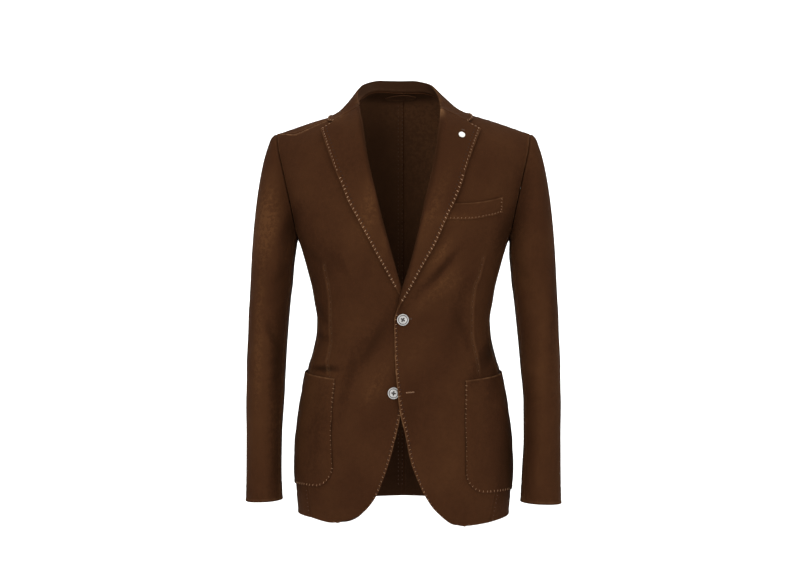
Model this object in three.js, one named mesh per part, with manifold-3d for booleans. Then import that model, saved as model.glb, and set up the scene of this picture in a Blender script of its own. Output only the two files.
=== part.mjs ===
// A two-button cotton blazer, filled out as if worn, with nothing inside it.
// Millimetres, +Z up. The front faces -Y and the wearer's left is at +X.
// The origin is the middle of the neck opening, level with the shoulders, where the wearer carries it.
import * as THREE from "three";
import { mergeVertices } from "three/addons/utils/BufferGeometryUtils.js";
import Module from "manifold-3d";

const wasm = await Module();
wasm.setup();

// Driving dimensions
const CLOTH = 1.6; // wall of every cloth piece
const GAP = 0.4; // free space at every seam
const LAY = 0.9; // free space under a piece that lies on another
const SQUARENESS = 2.4; // exponent of the torso's superellipse sections
const REACH = 115; // height over which the chest and back round over into the shoulder
const CREST_Y = 5; // the shoulder's highest line runs across at this depth
const NECK_X = -6; // the collar sits this far to the wearer's right of the middle
const SEAM_ANGLE = 0.08; // half of a seam's gap, in degrees round the torso
const BUTTON = { radius: 10, thick: 3.2, rim: 1.7, dish: 0.9, hole: 1, spacing: 1.9 };
const STUD = { radius: 5.8, thick: 2.6 };
const BUTTON_CLEAR = 1.1; // the upper button's back stands this far off the curved front
const LOWER_CLEAR = 0.7; // and the lower one's off the right front
const CUFF_Z = { left: -686.3, right: -682 };
const CAP_Z = -262; // the sleeve's head ends and its tube begins at this height

const DEG = Math.PI / 180;
const LEFT = 1;
const RIGHT = -1;
const sides = [
  { name: "left", sign: LEFT },
  { name: "right", sign: RIGHT },
];

// Tables
function table(columns, rows) {
  return rows.map((row) => Object.fromEntries(columns.map((name, i) => [name, row[i]])));
}

// Sections of the torso: half its width, and its depth in front of and behind the crest.
const TORSO = table(["z", "halfWidth", "front", "back"], [
  [-735, 184, 128, 116],
  [-704, 185.5, 129, 117],
  [-673, 188, 130, 118],
  [-637, 190, 131, 120],
  [-587, 188.5, 130, 119],
  [-529, 182, 127, 113],
  [-492, 176, 124, 107],
  [-458, 169, 121, 102],
  [-425, 160, 118, 97],
  [-393, 153.5, 115, 93],
  [-371, 152, 113, 90],
  [-335, 157.5, 114, 92],
  [-316, 160.5, 116, 95],
  [-282, 169, 119, 101],
  [-240, 181, 123, 108],
  [-220, 188.5, 124, 110],
  [-200, 196, 124, 112],
  [-120, 218, 120, 112],
  [-46, 238, 112, 108],
  [40, 250, 105, 100],
]);

// The bottom edge, by angle round the torso from the middle of the front.
const HEM = table(["angle", "left", "right"], [
  [0, -719.5, -717.5],
  [29, -719.5, -717.5],
  [45, -717, -713],
  [57, -713.5, -708.5],
  [75, -709.7, -706.5],
  [90, -706.5, -705],
  [120, -700, -700],
  [150, -694, -694],
  [180, -690, -690],
]);

// The free front edge and then the roll line, from the lowest point up.
const FRONT_EDGE = {
  left: table(["z", "x"], [
    [-719.8, 102],
    [-716, 84],
    [-706.5, 69],
    [-689, 51],
    [-666.5, 36.5],
    [-635, 22],
    [-604, 11.4],
    [-560, 2.7],
    [-528, -5],
    [-493, -9.4],
    [-430, -14.3],
    [-369, -15.2],
    [-349, -10.5],
    [-327, -5.5],
    [-272, 11.4],
    [-234, 21.9],
    [-163, 37.7],
    [-101, 52],
    [-61, 58.3],
    [-5, 65],
    [20, 66],
  ]),
  right: table(["z", "x"], [
    [-713.6, 111],
    [-707.4, 88],
    [-694, 67],
    [-669, 48],
    [-643, 37],
    [-615, 27],
    [-575, 16],
    [-528, 5],
    [-493, -3],
    [-430, -10],
    [-369, -14],
    [-349, -10],
    [-306, 6.7],
    [-266, 17.9],
    [-222, 30.2],
    [-163, 45.8],
    [-85, 63.6],
    [-36, 70.8],
    [-1, 77],
    [20, 78],
  ]),
};

// The turned-back lapel's outer edge, up to its tip.
const LAPEL_EDGE = {
  left: table(["z", "x"], [
    [-348, -8.6],
    [-331, -0.2],
    [-312, 11.4],
    [-273, 32.5],
    [-240, 51.5],
    [-190, 74.1],
    [-164, 86.6],
    [-137, 97.1],
    [-112, 104.5],
    [-76, 117.5],
    [-42, 131.3],
  ]),
  right: table(["z", "x"], [
    [-327, 5.5],
    [-312, 13.5],
    [-241, 52.4],
    [-190, 80],
    [-163, 94.3],
    [-143, 101.8],
    [-112, 115],
    [-76, 129],
    [-42, 141.3],
  ]),
};
const ROLL_FOOT = { left: -346, right: -322 };
const ROLL_TOP = { left: -5, right: -1 };
const NOTCH_SHARE = 0.67; // the collar takes this share of the lapel's upper edge

// Seams between the front, side and back pieces, by height.
const SIDE_SEAMS = table(["z", "left", "right", "back"], [
  [-735, 49, 56, 127],
  [-600, 59, 60, 125],
  [-480, 69, 69, 121],
  [-400, 74, 74, 118],
  [-300, 76, 76, 113],
  [-190, 76, 76, 106],
]);

// The armhole, from the shoulder down the front, under the arm and up the back.
const ARMHOLE = table(["angle", "z"], [
  [67, -45.5],
  [67.6, -57],
  [68.6, -72],
  [69.6, -100],
  [70.6, -130],
  [71.4, -160],
  [73, -184],
  [76, -205],
  [82, -221],
  [90, -227],
  [98, -222],
  [103, -208],
  [106, -185],
  [108, -150],
  [109.5, -110],
  [111.5, -72],
  [112.6, -57],
  [113, -45.5],
]);
const ARMHOLE_FRONT_SEAM = 7;
const ARMHOLE_BACK_SEAM = 12;

// How far in front of the crest the shoulder seam lies, from the neck to the sleeve.
const SHOULDER_SEAM = {
  left: table(["share", "forward"], [
    [0, 6],
    [0.5, 8],
    [1, 5],
  ]),
  right: table(["share", "forward"], [
    [0, 30],
    [0.3, 44],
    [0.62, 56],
    [0.85, 30],
    [1, 5],
  ]),
};
const NECK_ANGLE = { left: 12.4, right: 15 };
const NAPE_Z = 36;

// The collar by stations from the middle of the back to its front end.
// Its fold is a line in space.
// Its fallen edge lies at an x and a length of cloth from the crest, under 0 behind.
const COLLAR = table(["foldX", "foldY", "foldZ", "edgeX", "edgeDown", "bulge", "sag"], [
  [0, 62, 57, 0, -98, 5, 0],
  [28, 59, 57, 40, -78, 5, 0],
  [49, 47, 52.5, 76, -52, 4, 0],
  [62, 27, 45, 104, -32, 1, 4],
  [71, 0, 28, 121, 0, 0, 4.5],
  [72.5, -20, 17, 125, 28, 0, 4],
  [72.5, -32, 7.5, 125.5, 50, 0, 2],
]);
const COLLAR_LEAN = -5.5; // the collar's top leans this far to the wearer's right

// Welt of the breast pocket, on the wearer's left. Its inner end slants away under the lapel.
const WELT_END = { bottom: 66, top: 79 };
const WELT = table(["x", "bottom", "top"], [
  [80, -196, -170],
  [100, -196, -169.6],
  [118, -195, -168.4],
  [141, -190.5, -165],
  [156, -187, -161.5],
  [169, -182.5, -157.5],
]);

// Patch pockets by angle round the torso. Each front edge runs through its own angles, from the foot up.
const PATCH = {
  left: { rear: 96, bottom: -664, top: -473, rise: 14, corner: 34 },
  right: { rear: 98, bottom: -653.5, top: -470, rise: 12, corner: 34 },
};
const PATCH_FRONT = table(["share", "left", "right"], [
  [0, 30, 35.8],
  [0.5, 30.6, 38.2],
  [1, 33.9, 39.3],
]);

// Sleeve sections: outermost and innermost edge, depth and the arm's forward bend.
const SLEEVE = table(["z", "outer", "innerLeft", "innerRight", "halfDepth", "y"], [
  [-235, 265, 183, 186, 77, 3],
  [-262, 267, 186, 190.5, 76, 2],
  [-300, 268.8, 190, 194.5, 73, 1],
  [-344, 270.8, 195, 199, 70, -2],
  [-410, 273.2, 201.5, 204, 67, -7],
  [-458, 275, 205.5, 206.5, 64, -11],
  [-510, 275.6, 210, 209, 61, -15],
  [-574, 274.5, 210, 212.5, 57, -20],
  [-630, 274.5, 207, 213, 54, -24],
  [-690, 275.5, 203.5, 210.5, 51, -28],
]);

// Broad soft folds: place, direction of the ridge, half its length and width, and how far it stands out.
const TORSO_FOLDS = table(["x", "y", "z", "turn", "long", "wide", "rise"], [
  [45, -1, -318, 62, 62, 13, 2.2],
  [76, -1, -352, 38, 54, 15, -2],
  [-58, -1, -334, -58, 60, 14, 2],
  [-88, -1, -366, -30, 48, 15, -1.8],
  [92, -1, -255, 70, 60, 18, 1.6],
  [-96, -1, -240, -68, 60, 18, 1.6],
  [152, -1, -420, -24, 46, 12, -2.4],
  [-150, -1, -410, 24, 44, 12, -2.2],
  [70, 1, -350, 14, 74, 13, -2.6],
  [-66, 1, -366, -12, 70, 13, -2.4],
  [96, 1, -172, 72, 70, 18, 2.4],
  [-100, 1, -180, -70, 72, 18, 2.4],
]);
const SLEEVE_FOLDS = table(["round", "z", "turn", "long", "wide", "rise"], [
  [92, -452, 16, 46, 10, -3],
  [108, -488, -10, 42, 10, 2.4],
  [70, -420, 24, 40, 11, 1.8],
  [118, -300, 34, 44, 12, -2.6],
  [60, -330, 40, 50, 14, 1.8],
  [250, -300, -30, 44, 13, -2.2],
]);

const COLOURS = {
  cloth: new THREE.MeshStandardMaterial({ color: 0x42281a, roughness: 0.92, metalness: 0 }),
  inside: new THREE.MeshStandardMaterial({ color: 0x33200f, roughness: 0.95, metalness: 0 }),
  button: new THREE.MeshStandardMaterial({ color: 0xa9a7a4, roughness: 0.3, metalness: 0 }),
  stud: new THREE.MeshStandardMaterial({ color: 0xf2efe6, roughness: 0.35, metalness: 0 }),
};

// Curves
const mix = (a, b, t) => a + (b - a) * t;
const vector = (x, y, z) => new THREE.Vector3(x, y, z);

function ease(from, to, value) {
  const t = Math.min(1, Math.max(0, (value - from) / (to - from)));
  return t * t * (3 - 2 * t);
}

// The slope of a monotone cubic at one row, from the slopes of the two stretches beside it.
function rowSlope(before, after) {
  if (before * after <= 0) return 0;
  return (2 * before * after) / (before + after);
}

// A smooth curve through a table's rows, as a function of one column.
function follow(rows, from, to) {
  const sorted = [...rows].sort((a, b) => a[from] - b[from]);
  const xs = sorted.map((row) => row[from]);
  const ys = sorted.map((row) => row[to]);
  const steps = xs.slice(1).map((x, i) => (ys[i + 1] - ys[i]) / (x - xs[i]));
  const last = steps.length - 1;
  const slopes = xs.map((_, i) => rowSlope(steps[Math.max(0, i - 1)], steps[Math.min(last, i)]));
  return (value) => {
    const x = Math.min(xs[last + 1], Math.max(xs[0], value));
    let i = 0;
    while (i < last && x > xs[i + 1]) i += 1;
    const width = xs[i + 1] - xs[i];
    const t = (x - xs[i]) / width;
    const rise = (1 - t) * (1 - t) * t * width * slopes[i] - t * t * (1 - t) * width * slopes[i + 1];
    return mix(ys[i], ys[i + 1], t * t * (3 - 2 * t)) + rise;
  };
}

// n + 1 values from 0 to 1; a power over 1 crowds them towards 0.
const steps = (n, power = 1) => Array.from({ length: n + 1 }, (_, i) => (i / n) ** power);

// Torso
const halfWidth = follow(TORSO, "z", "halfWidth");
const frontDepth = follow(TORSO, "z", "front");
const backDepth = follow(TORSO, "z", "back");

// Height of the shoulder's crest over any place across, with the rise round the neck.
function crest(x) {
  const slope = 34.8 - 0.352 * Math.hypot(x, 40) + 1.9 * ease(112, 165, Math.abs(x));
  const fromNeck = Math.min(1, Math.abs(x - NECK_X) / 96) ** 1.8;
  return slope + 16.5 * (1 + Math.cos(Math.PI * fromNeck));
}

// A place on the torso is an angle round it and a length of cloth down from the crest.
// The angle is 0 at the middle of the front, 90 at the wearer's left and 180 at the middle of the back.
// A length under 0 has passed over the crest to the other face.
function torsoPoint({ angle, down }) {
  const overCrest = down < 0;
  const round = overCrest ? Math.sign(angle) * 180 - angle : angle;
  const length = Math.abs(down);
  const bend = Math.min(length / REACH, Math.PI / 2);
  const drop = REACH * (1 - Math.cos(bend)) + Math.max(0, length - (REACH * Math.PI) / 2);
  const sine = Math.sin(round * DEG);
  const cosine = Math.cos(round * DEG);
  const across = Math.sign(sine) * Math.abs(sine) ** (2 / SQUARENESS);
  const along = Math.abs(cosine) ** (2 / SQUARENESS) * Math.sin(bend);
  let x = 0;
  let z = -drop;
  for (let i = 0; i < 6; i += 1) {
    x = halfWidth(z) * across;
    z = crest(x) - drop;
  }
  const y = cosine < 0 ? backDepth(z) * along : -frontDepth(z) * along;
  return vector(x, CREST_Y + y, z);
}

// The place on the torso that has a given x and z.
function torsoPlace(x, z, behind = false) {
  const share = Math.min(1, Math.abs(x) / halfWidth(z));
  const turn = Math.asin(share ** (SQUARENESS / 2)) / DEG;
  const drop = Math.max(0, crest(x) - z);
  const down = drop < REACH ? REACH * Math.acos(1 - drop / REACH) : REACH * (Math.PI / 2 - 1) + drop;
  return { angle: Math.sign(x || 1) * (behind ? 180 - turn : turn), down };
}

// The place over a given x at a length of cloth from the crest.
function torsoPlaceBeside(x, down) {
  const drop = REACH * (1 - Math.cos(Math.min(Math.abs(down) / REACH, Math.PI / 2)));
  return { angle: torsoPlace(x, crest(x) - drop).angle, down };
}

// The place at a given angle and height.
function torsoPlaceAt(angle, z) {
  const across = Math.abs(Math.sin(angle * DEG)) ** (2 / SQUARENESS);
  const x = Math.sign(angle) * halfWidth(z) * across;
  return { angle, down: torsoPlace(x, z, Math.abs(angle) > 90).down };
}

function torsoNormal({ angle, down }) {
  const across = torsoPoint({ angle: angle + 0.5, down }).sub(torsoPoint({ angle: angle - 0.5, down }));
  const along = torsoPoint({ angle, down: down + 1 }).sub(torsoPoint({ angle, down: down - 1 }));
  return along.cross(across).normalize();
}

// One soft ridge or trough at an offset from its middle.
function ridge(dx, dz, fold) {
  const along = dx * Math.cos(fold.turn * DEG) + dz * Math.sin(fold.turn * DEG);
  const beside = dz * Math.cos(fold.turn * DEG) - dx * Math.sin(fold.turn * DEG);
  return fold.rise * Math.exp(-((along / fold.long) ** 2) - (beside / fold.wide) ** 2);
}

function torsoFold(point) {
  const face = TORSO_FOLDS.filter((fold) => fold.y * (point.y - CREST_Y) > 0);
  return face.reduce((sum, fold) => sum + ridge(point.x - fold.x, point.z - fold.z, fold), 0);
}

// A point raised from the torso's own surface.
function torsoSkin(place, raise = 0) {
  const point = torsoPoint(place);
  const normal = torsoNormal(place);
  const body = Math.min(1, Math.max(0, (-40 - point.z) / 60));
  return { point: point.clone().addScaledVector(normal, raise + body * torsoFold(point)), normal };
}

// The left front lies over the right one, and over the right lapel's foot and the lower button.
const LIFTS = table(["x", "z", "wide", "high", "rise"], [
  [-9, -493, 24, 46, 5.4],
  [-3, -325, 26, 40, 4.6],
]);

function frontLift(side, point) {
  if (side === RIGHT) return 0;
  const over = ease(62, 22, point.x) * ease(-262, -308, point.z);
  return LIFTS.reduce((sum, lift) => {
    const away = ((point.x - lift.x) / lift.wide) ** 2 + ((point.z - lift.z) / lift.high) ** 2;
    return sum + lift.rise * Math.exp(-away);
  }, (CLOTH + LAY) * over);
}

// Cloth
// A surface is a function of two shares that gives a point and the direction away from the inside.
function withNormal(pointAt, outward) {
  const step = 0.004;
  return (u, v) => {
    const low = { u: Math.max(0, u - step), v: Math.max(0, v - step) };
    const high = { u: Math.min(1, u + step), v: Math.min(1, v + step) };
    const across = pointAt(high.u, v).sub(pointAt(low.u, v));
    const along = pointAt(u, high.v).sub(pointAt(u, low.v));
    return { point: pointAt(u, v), normal: across.cross(along).normalize().multiplyScalar(outward) };
  };
}

function signedVolume(positions, index) {
  const corner = (i) => vector(positions[3 * i], positions[3 * i + 1], positions[3 * i + 2]);
  let sum = 0;
  for (let i = 0; i < index.length; i += 3) {
    const [a, b, c] = [corner(index[i]), corner(index[i + 1]), corner(index[i + 2])];
    sum += a.dot(b.cross(c));
  }
  return sum;
}

// A closed wall: the surface, the same surface moved inwards, and a rim round both.
function clothWall(surface, us, vs, thick = CLOTH) {
  const positions = [];
  const put = (point) => positions.push(point.x, point.y, point.z);
  const grid = vs.flatMap((v) => us.map((u) => surface(u, v)));
  grid.forEach(({ point }) => put(point));
  grid.forEach(({ point, normal }) => put(point.clone().addScaledVector(normal, -thick)));
  const wide = us.length;
  const inner = grid.length;
  const index = [];
  const quad = (a, b, c, d) => index.push(a, b, c, a, c, d);
  for (let j = 0; j < vs.length - 1; j += 1) {
    for (let i = 0; i < wide - 1; i += 1) {
      const a = j * wide + i;
      quad(a, a + 1, a + wide + 1, a + wide);
      quad(inner + a, inner + a + wide, inner + a + wide + 1, inner + a + 1);
    }
  }
  const top = (vs.length - 1) * wide;
  for (let i = 0; i < wide - 1; i += 1) {
    quad(i, inner + i, inner + i + 1, i + 1);
    quad(top + i, top + i + 1, inner + top + i + 1, inner + top + i);
  }
  for (let a = 0; a < top; a += wide) {
    quad(a, a + wide, inner + a + wide, inner + a);
    const b = a + wide - 1;
    quad(b, inner + b, inner + b + wide, b + wide);
  }
  if (signedVolume(positions, index) < 0) index.reverse();
  const geometry = new THREE.BufferGeometry();
  geometry.setAttribute("position", new THREE.Float32BufferAttribute(positions, 3));
  geometry.setIndex(index);
  geometry.computeVertexNormals();
  return geometry;
}

// A patch of torso places stretched between its four edges.
function patchPlace(edges, u, v) {
  const place = {};
  for (const key of ["angle", "down"]) {
    const rows = mix(edges.bottom(u)[key], edges.top(u)[key], v);
    const columns = mix(edges.left(v)[key], edges.right(v)[key], u);
    const bottom = mix(edges.bottom(0)[key], edges.bottom(1)[key], u);
    const top = mix(edges.top(0)[key], edges.top(1)[key], u);
    place[key] = rows + columns - mix(bottom, top, v);
  }
  return place;
}

const clothMesh = (name, geometry, material = COLOURS.cloth) => {
  const mesh = new THREE.Mesh(geometry, material);
  mesh.name = name;
  return mesh;
};

// Rows and columns that neighbouring pieces share, so that their facets meet along each seam
const SEAM_PART = 0.7; // share of a panel's height that its side seam takes
const ARMHOLE_STEPS = 7; // rows of the front, and of the back, along the armhole
const SIDE_STEPS = 8; // columns of the side piece
const SHOULDER_STEPS = 11; // columns along the shoulder seam
const NECK_STEPS = 6; // columns of the back along the neckline
const seamRows = steps(16, 1.2);
const panelRows = [
  ...seamRows.map((v) => v * SEAM_PART),
  ...steps(ARMHOLE_STEPS).slice(1).map((t) => mix(SEAM_PART, 1, t)),
];
const ROLL_PART = panelRows.at(-2); // the roll line ends one row below the shoulder

// Edges of the panels, as functions of the side
const hemLines = { [LEFT]: follow(HEM, "angle", "left"), [RIGHT]: follow(HEM, "angle", "right") };
const hemHeight = (sign, angle) => hemLines[sign](angle);
const HEM_SIDE = -706; // height at which a side seam's angle is read for the hem
const frontSeam = { left: follow(SIDE_SEAMS, "z", "left"), right: follow(SIDE_SEAMS, "z", "right") };
const backSeam = follow(SIDE_SEAMS, "z", "back");

const armholePlaces = ARMHOLE.map(({ angle, z }) => torsoPlaceAt(angle, z));
const shoulderEnd = SHOULDER_SEAM.left.at(-1).forward;
const armholeCurve = new THREE.SplineCurve([
  new THREE.Vector2(armholePlaces[0].angle, shoulderEnd + GAP / 2),
  ...armholePlaces.slice(1, -1).map(({ angle, down }) => new THREE.Vector2(angle, down)),
  new THREE.Vector2(armholePlaces.at(-1).angle, GAP / 2 - shoulderEnd),
]);
const armholeShare = (row) => row / (ARMHOLE.length - 1);

function armholePlace(sign, share) {
  const at = armholeCurve.getPoint(share);
  return { angle: sign * at.x, down: at.y };
}

const hemPlace = (sign, angle) => torsoPlaceAt(sign * angle, hemHeight(sign, angle));

// A seam at the side from the hem up to the armhole, with its half of the gap to one side.
function seamPlace(sign, seam, endRow, gap, v) {
  const end = ARMHOLE[endRow];
  const z = mix(hemHeight(sign, seam(HEM_SIDE)), end.z, v);
  const place = torsoPlaceAt(mix(seam(z), end.angle, v ** 6), z);
  return { angle: sign * (place.angle + gap), down: place.down };
}

// A panel's lateral edge: the side seam, then the armhole from the seam's end to the shoulder.
function lateralEdge(sign, seam, seamRow, lastRow, gap) {
  return (v) => {
    if (v <= SEAM_PART) return seamPlace(sign, seam, seamRow, gap, v / SEAM_PART);
    const t = (v - SEAM_PART) / (1 - SEAM_PART);
    const place = armholePlace(sign, mix(armholeShare(seamRow), armholeShare(lastRow), t));
    return { angle: place.angle + sign * gap * (1 - t), down: place.down };
  };
}

// The shoulder seam from the neck to the sleeve, seen from the front face or from behind.
function shoulderPlace(side, u, gap, behind) {
  const forward = follow(SHOULDER_SEAM[side.name], "share", "forward")(u) + gap;
  const angle = mix(NECK_ANGLE[side.name], ARMHOLE[0].angle, u);
  if (behind) return { angle: side.sign * (180 - angle), down: -forward };
  return { angle: side.sign * angle, down: forward };
}

// Front
function rollTopPlace(side) {
  const z = ROLL_TOP[side.name];
  return torsoPlace(side.sign * follow(FRONT_EDGE[side.name], "z", "x")(z), z);
}

function frontEdges(side) {
  const edgeX = follow(FRONT_EDGE[side.name], "z", "x");
  const lowest = FRONT_EDGE[side.name][0];
  const corner = torsoPlace(side.sign * lowest.x, lowest.z);
  const neck = shoulderPlace(side, 0, GAP / 2, false);
  const lateral = lateralEdge(side.sign, frontSeam[side.name], ARMHOLE_FRONT_SEAM, 0, -SEAM_ANGLE);
  const rollTop = rollTopPlace(side);
  return {
    bottom: (u) => {
      const angle = mix(Math.abs(corner.angle), Math.abs(lateral(0).angle), u);
      const z = mix(lowest.z, hemHeight(side.sign, angle), Math.min(1, u * 3));
      return torsoPlaceAt(side.sign * angle, z);
    },
    top: (u) => shoulderPlace(side, u, GAP / 2, false),
    left: (v) => {
      if (v > ROLL_PART) {
        const t = (v - ROLL_PART) / (1 - ROLL_PART);
        return { angle: mix(rollTop.angle, neck.angle, t), down: mix(rollTop.down, neck.down, t) };
      }
      const z = mix(lowest.z, ROLL_TOP[side.name], (v / ROLL_PART) ** 1.3);
      return torsoPlace(side.sign * edgeX(z), z);
    },
    right: lateral,
  };
}

function frontPanel(side) {
  const edges = frontEdges(side);
  const surface = (u, v) => {
    const place = patchPlace(edges, u, v);
    return torsoSkin(place, frontLift(side.sign, torsoPoint(place)));
  };
  return clothMesh(`front_${side.name}`, clothWall(surface, steps(SHOULDER_STEPS), panelRows));
}

// Side and back
function sidePanel(side) {
  const ring = (u) => mix(armholeShare(ARMHOLE_FRONT_SEAM), armholeShare(ARMHOLE_BACK_SEAM), u);
  const edges = {
    left: (v) => seamPlace(side.sign, frontSeam[side.name], ARMHOLE_FRONT_SEAM, SEAM_ANGLE, v),
    right: (v) => seamPlace(side.sign, backSeam, ARMHOLE_BACK_SEAM, -SEAM_ANGLE, v),
    top: (u) => {
      const place = armholePlace(side.sign, ring(u));
      return { angle: place.angle + side.sign * mix(SEAM_ANGLE, -SEAM_ANGLE, u), down: place.down };
    },
  };
  edges.bottom = (u) => hemPlace(side.sign, Math.abs(mix(edges.left(0).angle, edges.right(0).angle, u)));
  const surface = (u, v) => torsoSkin(patchPlace(edges, u, v));
  return clothMesh(`side_${side.name}`, clothWall(surface, steps(SIDE_STEPS), seamRows));
}

const NECK_PART = 0.3; // share of the back's upper edge that the neckline takes
const nape = torsoPlace(0, NAPE_Z, true);
const BACK_MIDDLE = 180 - 0.012; // a seam's half gap from the middle of the back

// The neckline from the middle of the back to the neck's side, then the shoulder seam.
function necklinePlace(side, t, gap = 0) {
  const end = shoulderPlace(side, 0, -GAP / 2, true);
  const down = mix(end.down, nape.down, Math.cos((t * Math.PI) / 2) ** 1.6) - gap;
  const turn = (180 - Math.abs(end.angle)) * Math.sin((t * Math.PI) / 2) ** (SQUARENESS / 2);
  return { angle: side.sign * Math.min(BACK_MIDDLE, 180 - turn), down };
}

function backTop(side, u) {
  if (u <= NECK_PART) return necklinePlace(side, u / NECK_PART);
  return shoulderPlace(side, (u - NECK_PART) / (1 - NECK_PART), -GAP / 2, true);
}

function backPanel(side) {
  const last = ARMHOLE.length - 1;
  const lateral = lateralEdge(side.sign, backSeam, ARMHOLE_BACK_SEAM, last, SEAM_ANGLE);
  const hem = hemPlace(1, BACK_MIDDLE);
  const edges = {
    left: (v) => ({ angle: side.sign * BACK_MIDDLE, down: mix(hem.down, nape.down, v) }),
    right: lateral,
    bottom: (u) => hemPlace(side.sign, mix(BACK_MIDDLE, Math.abs(lateral(0).angle), u)),
    top: (u) => backTop(side, u),
  };
  const us = [
    ...steps(NECK_STEPS).map((t) => t * NECK_PART),
    ...steps(SHOULDER_STEPS).slice(1).map((t) => mix(NECK_PART, 1, t)),
  ];
  const surface = (u, v) => torsoSkin(patchPlace(edges, u, v));
  return clothMesh(`back_${side.name}`, clothWall(surface, us, panelRows));
}

// Lapels
const gorgeColumns = steps(5); // the lapel's columns and the collar's rows meet at these shares
const LAPEL_RISE = 4.6; // how far the lapel stands off the front beyond its roll
const LAPEL_CLEAR = 1.2; // between the front and the lapel folded back on it, beside the roll

function lapelPlace(side, u, v) {
  const rollX = follow(FRONT_EDGE[side.name], "z", "x");
  const edgeX = follow(LAPEL_EDGE[side.name], "z", "x");
  const edgeRows = LAPEL_EDGE[side.name];
  const rollZ = mix(ROLL_FOOT[side.name], ROLL_TOP[side.name], v);
  const edgeZ = mix(Math.max(edgeRows[0].z, ROLL_FOOT[side.name] - 2), edgeRows.at(-1).z, v);
  const x = mix(rollX(rollZ), edgeX(edgeZ), u);
  return torsoPlace(side.sign * x, mix(rollZ, edgeZ, u));
}

// Height of the turned-back cloth over the front, rising fast from the roll.
function turnedLift(side, place, u, open) {
  const base = frontLift(side.sign, torsoPoint(place));
  return base + CLOTH + LAPEL_CLEAR + LAPEL_RISE * open * (1 - (1 - u) ** 3);
}

function lapelSkin(side, u, v) {
  const place = lapelPlace(side, u, v);
  const open = mix(0.35, 1, ease(0, 0.25, v)) * mix(1, 0.62, ease(0.5, 1, v));
  return torsoSkin(place, turnedLift(side, place, u, open));
}

function lapel(side) {
  const surface = (u, v) => lapelSkin(side, u, v);
  const us = [...gorgeColumns.map((t) => t * NOTCH_SHARE), 0.78, 0.89, 1];
  return clothMesh(`lapel_${side.name}`, clothWall(surface, us, steps(15)));
}

// Collar
const GORGE_GAP = 1.1; // between the collar and the lapel, whose walls both curve
const LEAF_CLEAR = 1.2; // the leaf's fallen edge stands this far off the shoulder

function collarCurve(key) {
  const rows = COLLAR.map((row, i) => ({ at: i / COLLAR.length, value: row[key] }));
  return follow(rows, "at", "value");
}
const collarTrack = Object.fromEntries(
  Object.keys(COLLAR[0]).map((key) => [key, collarCurve(key)]),
);
const LAST_STATION = (COLLAR.length - 1) / COLLAR.length;

// Where the collar's front end meets the lapel: a point of the gorge seam, just above the lapel.
function gorgePoint(side, v) {
  const skin = lapelSkin(side, v * NOTCH_SHARE, 1);
  const beyond = lapelSkin(side, v * NOTCH_SHARE, 0.97).point;
  const up = skin.point.clone().sub(beyond).normalize();
  return { point: skin.point.clone().addScaledVector(up, GORGE_GAP), normal: skin.normal };
}

// The fold's line: share 0 is the middle of the back and 1 the front end.
function foldPoint(side, share) {
  const t = Math.min(share, LAST_STATION);
  const high = collarTrack.foldZ(t);
  const middle = NECK_X + COLLAR_LEAN * ease(-10, 42, high);
  const station = vector(middle + side.sign * collarTrack.foldX(t), collarTrack.foldY(t), high);
  const rest = (share - t) / (1 - LAST_STATION);
  return station.lerp(gorgePoint(side, 0).point, rest);
}

function fallenEdgePoint(side, share) {
  const x = NECK_X + side.sign * collarTrack.edgeX(share);
  return torsoSkin(torsoPlaceBeside(x, collarTrack.edgeDown(share)), CLOTH + LEAF_CLEAR).point;
}

// A cross-section of the collar's leaf from its fold to its fallen edge.
function leafPoint(side, share, v) {
  const t = Math.min(share, LAST_STATION);
  const point = foldPoint(side, t);
  const out = vector(point.x - NECK_X, point.y - 6, 0).normalize();
  const bulge = collarTrack.bulge(t) * 4 * v * (1 - v);
  point.lerp(fallenEdgePoint(side, t), v);
  point.addScaledVector(out, mix(GAP / 2 + CLOTH, 0, v) + bulge * 0.8);
  point.z += bulge * 0.6 - collarTrack.sag(t) * 6.75 * v * v * (1 - v);
  return point.lerp(gorgePoint(side, v).point, (share - t) / (1 - LAST_STATION));
}

// Both halves as one piece: u runs from the front end on the right to the front end on the left.
function bothSides(pointAt) {
  return (u, v) => {
    const side = u < 0.5 ? sides[1] : sides[0];
    return pointAt(side, Math.abs(2 * u - 1), v);
  };
}

function collarLeaf() {
  const half = [0, 0.07, 0.143, 0.215, 0.286, 0.357, 0.43, 0.5, 0.571, 0.643, 0.715, 0.79, 0.857, 0.93, 1];
  const us = [...half.slice(1).reverse().map((s) => 0.5 - s / 2), ...half.map((s) => 0.5 + s / 2)];
  const plain = withNormal(bothSides(leafPoint), 1);
  const lapelNormal = bothSides((side, share, v) => gorgePoint(side, v).normal);
  const surface = (u, v) => {
    const { point, normal } = plain(u, v);
    const toLapel = ease(0.8, 0.97, Math.abs(2 * u - 1));
    return { point, normal: normal.lerp(lapelNormal(u, v), toLapel).normalize() };
  };
  return clothMesh("collar_leaf", clothWall(surface, us, gorgeColumns));
}

// The stand rises from the neckline to the fold, inside the leaf.
const NECK_SHARE = 0.58; // share of the stand's half that the back's neckline takes
const STAND_END = 0.93; // the stand ends just short of the lapel's roll
const STAND_GAP = 0.8; // free space along the stand's foot, which follows a curved neckline

function standFoot(side, share) {
  if (share <= NECK_SHARE) return torsoSkin(necklinePlace(side, share / NECK_SHARE, STAND_GAP)).point;
  const t = (share - NECK_SHARE) / (1 - NECK_SHARE);
  const neck = torsoSkin(necklinePlace(side, 1, STAND_GAP)).point;
  const inward = vector(-2.2 * side.sign * STAND_GAP, 0, 3.4 * STAND_GAP);
  return neck.lerp(torsoSkin(rollTopPlace(side)).point.add(inward), t);
}

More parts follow.
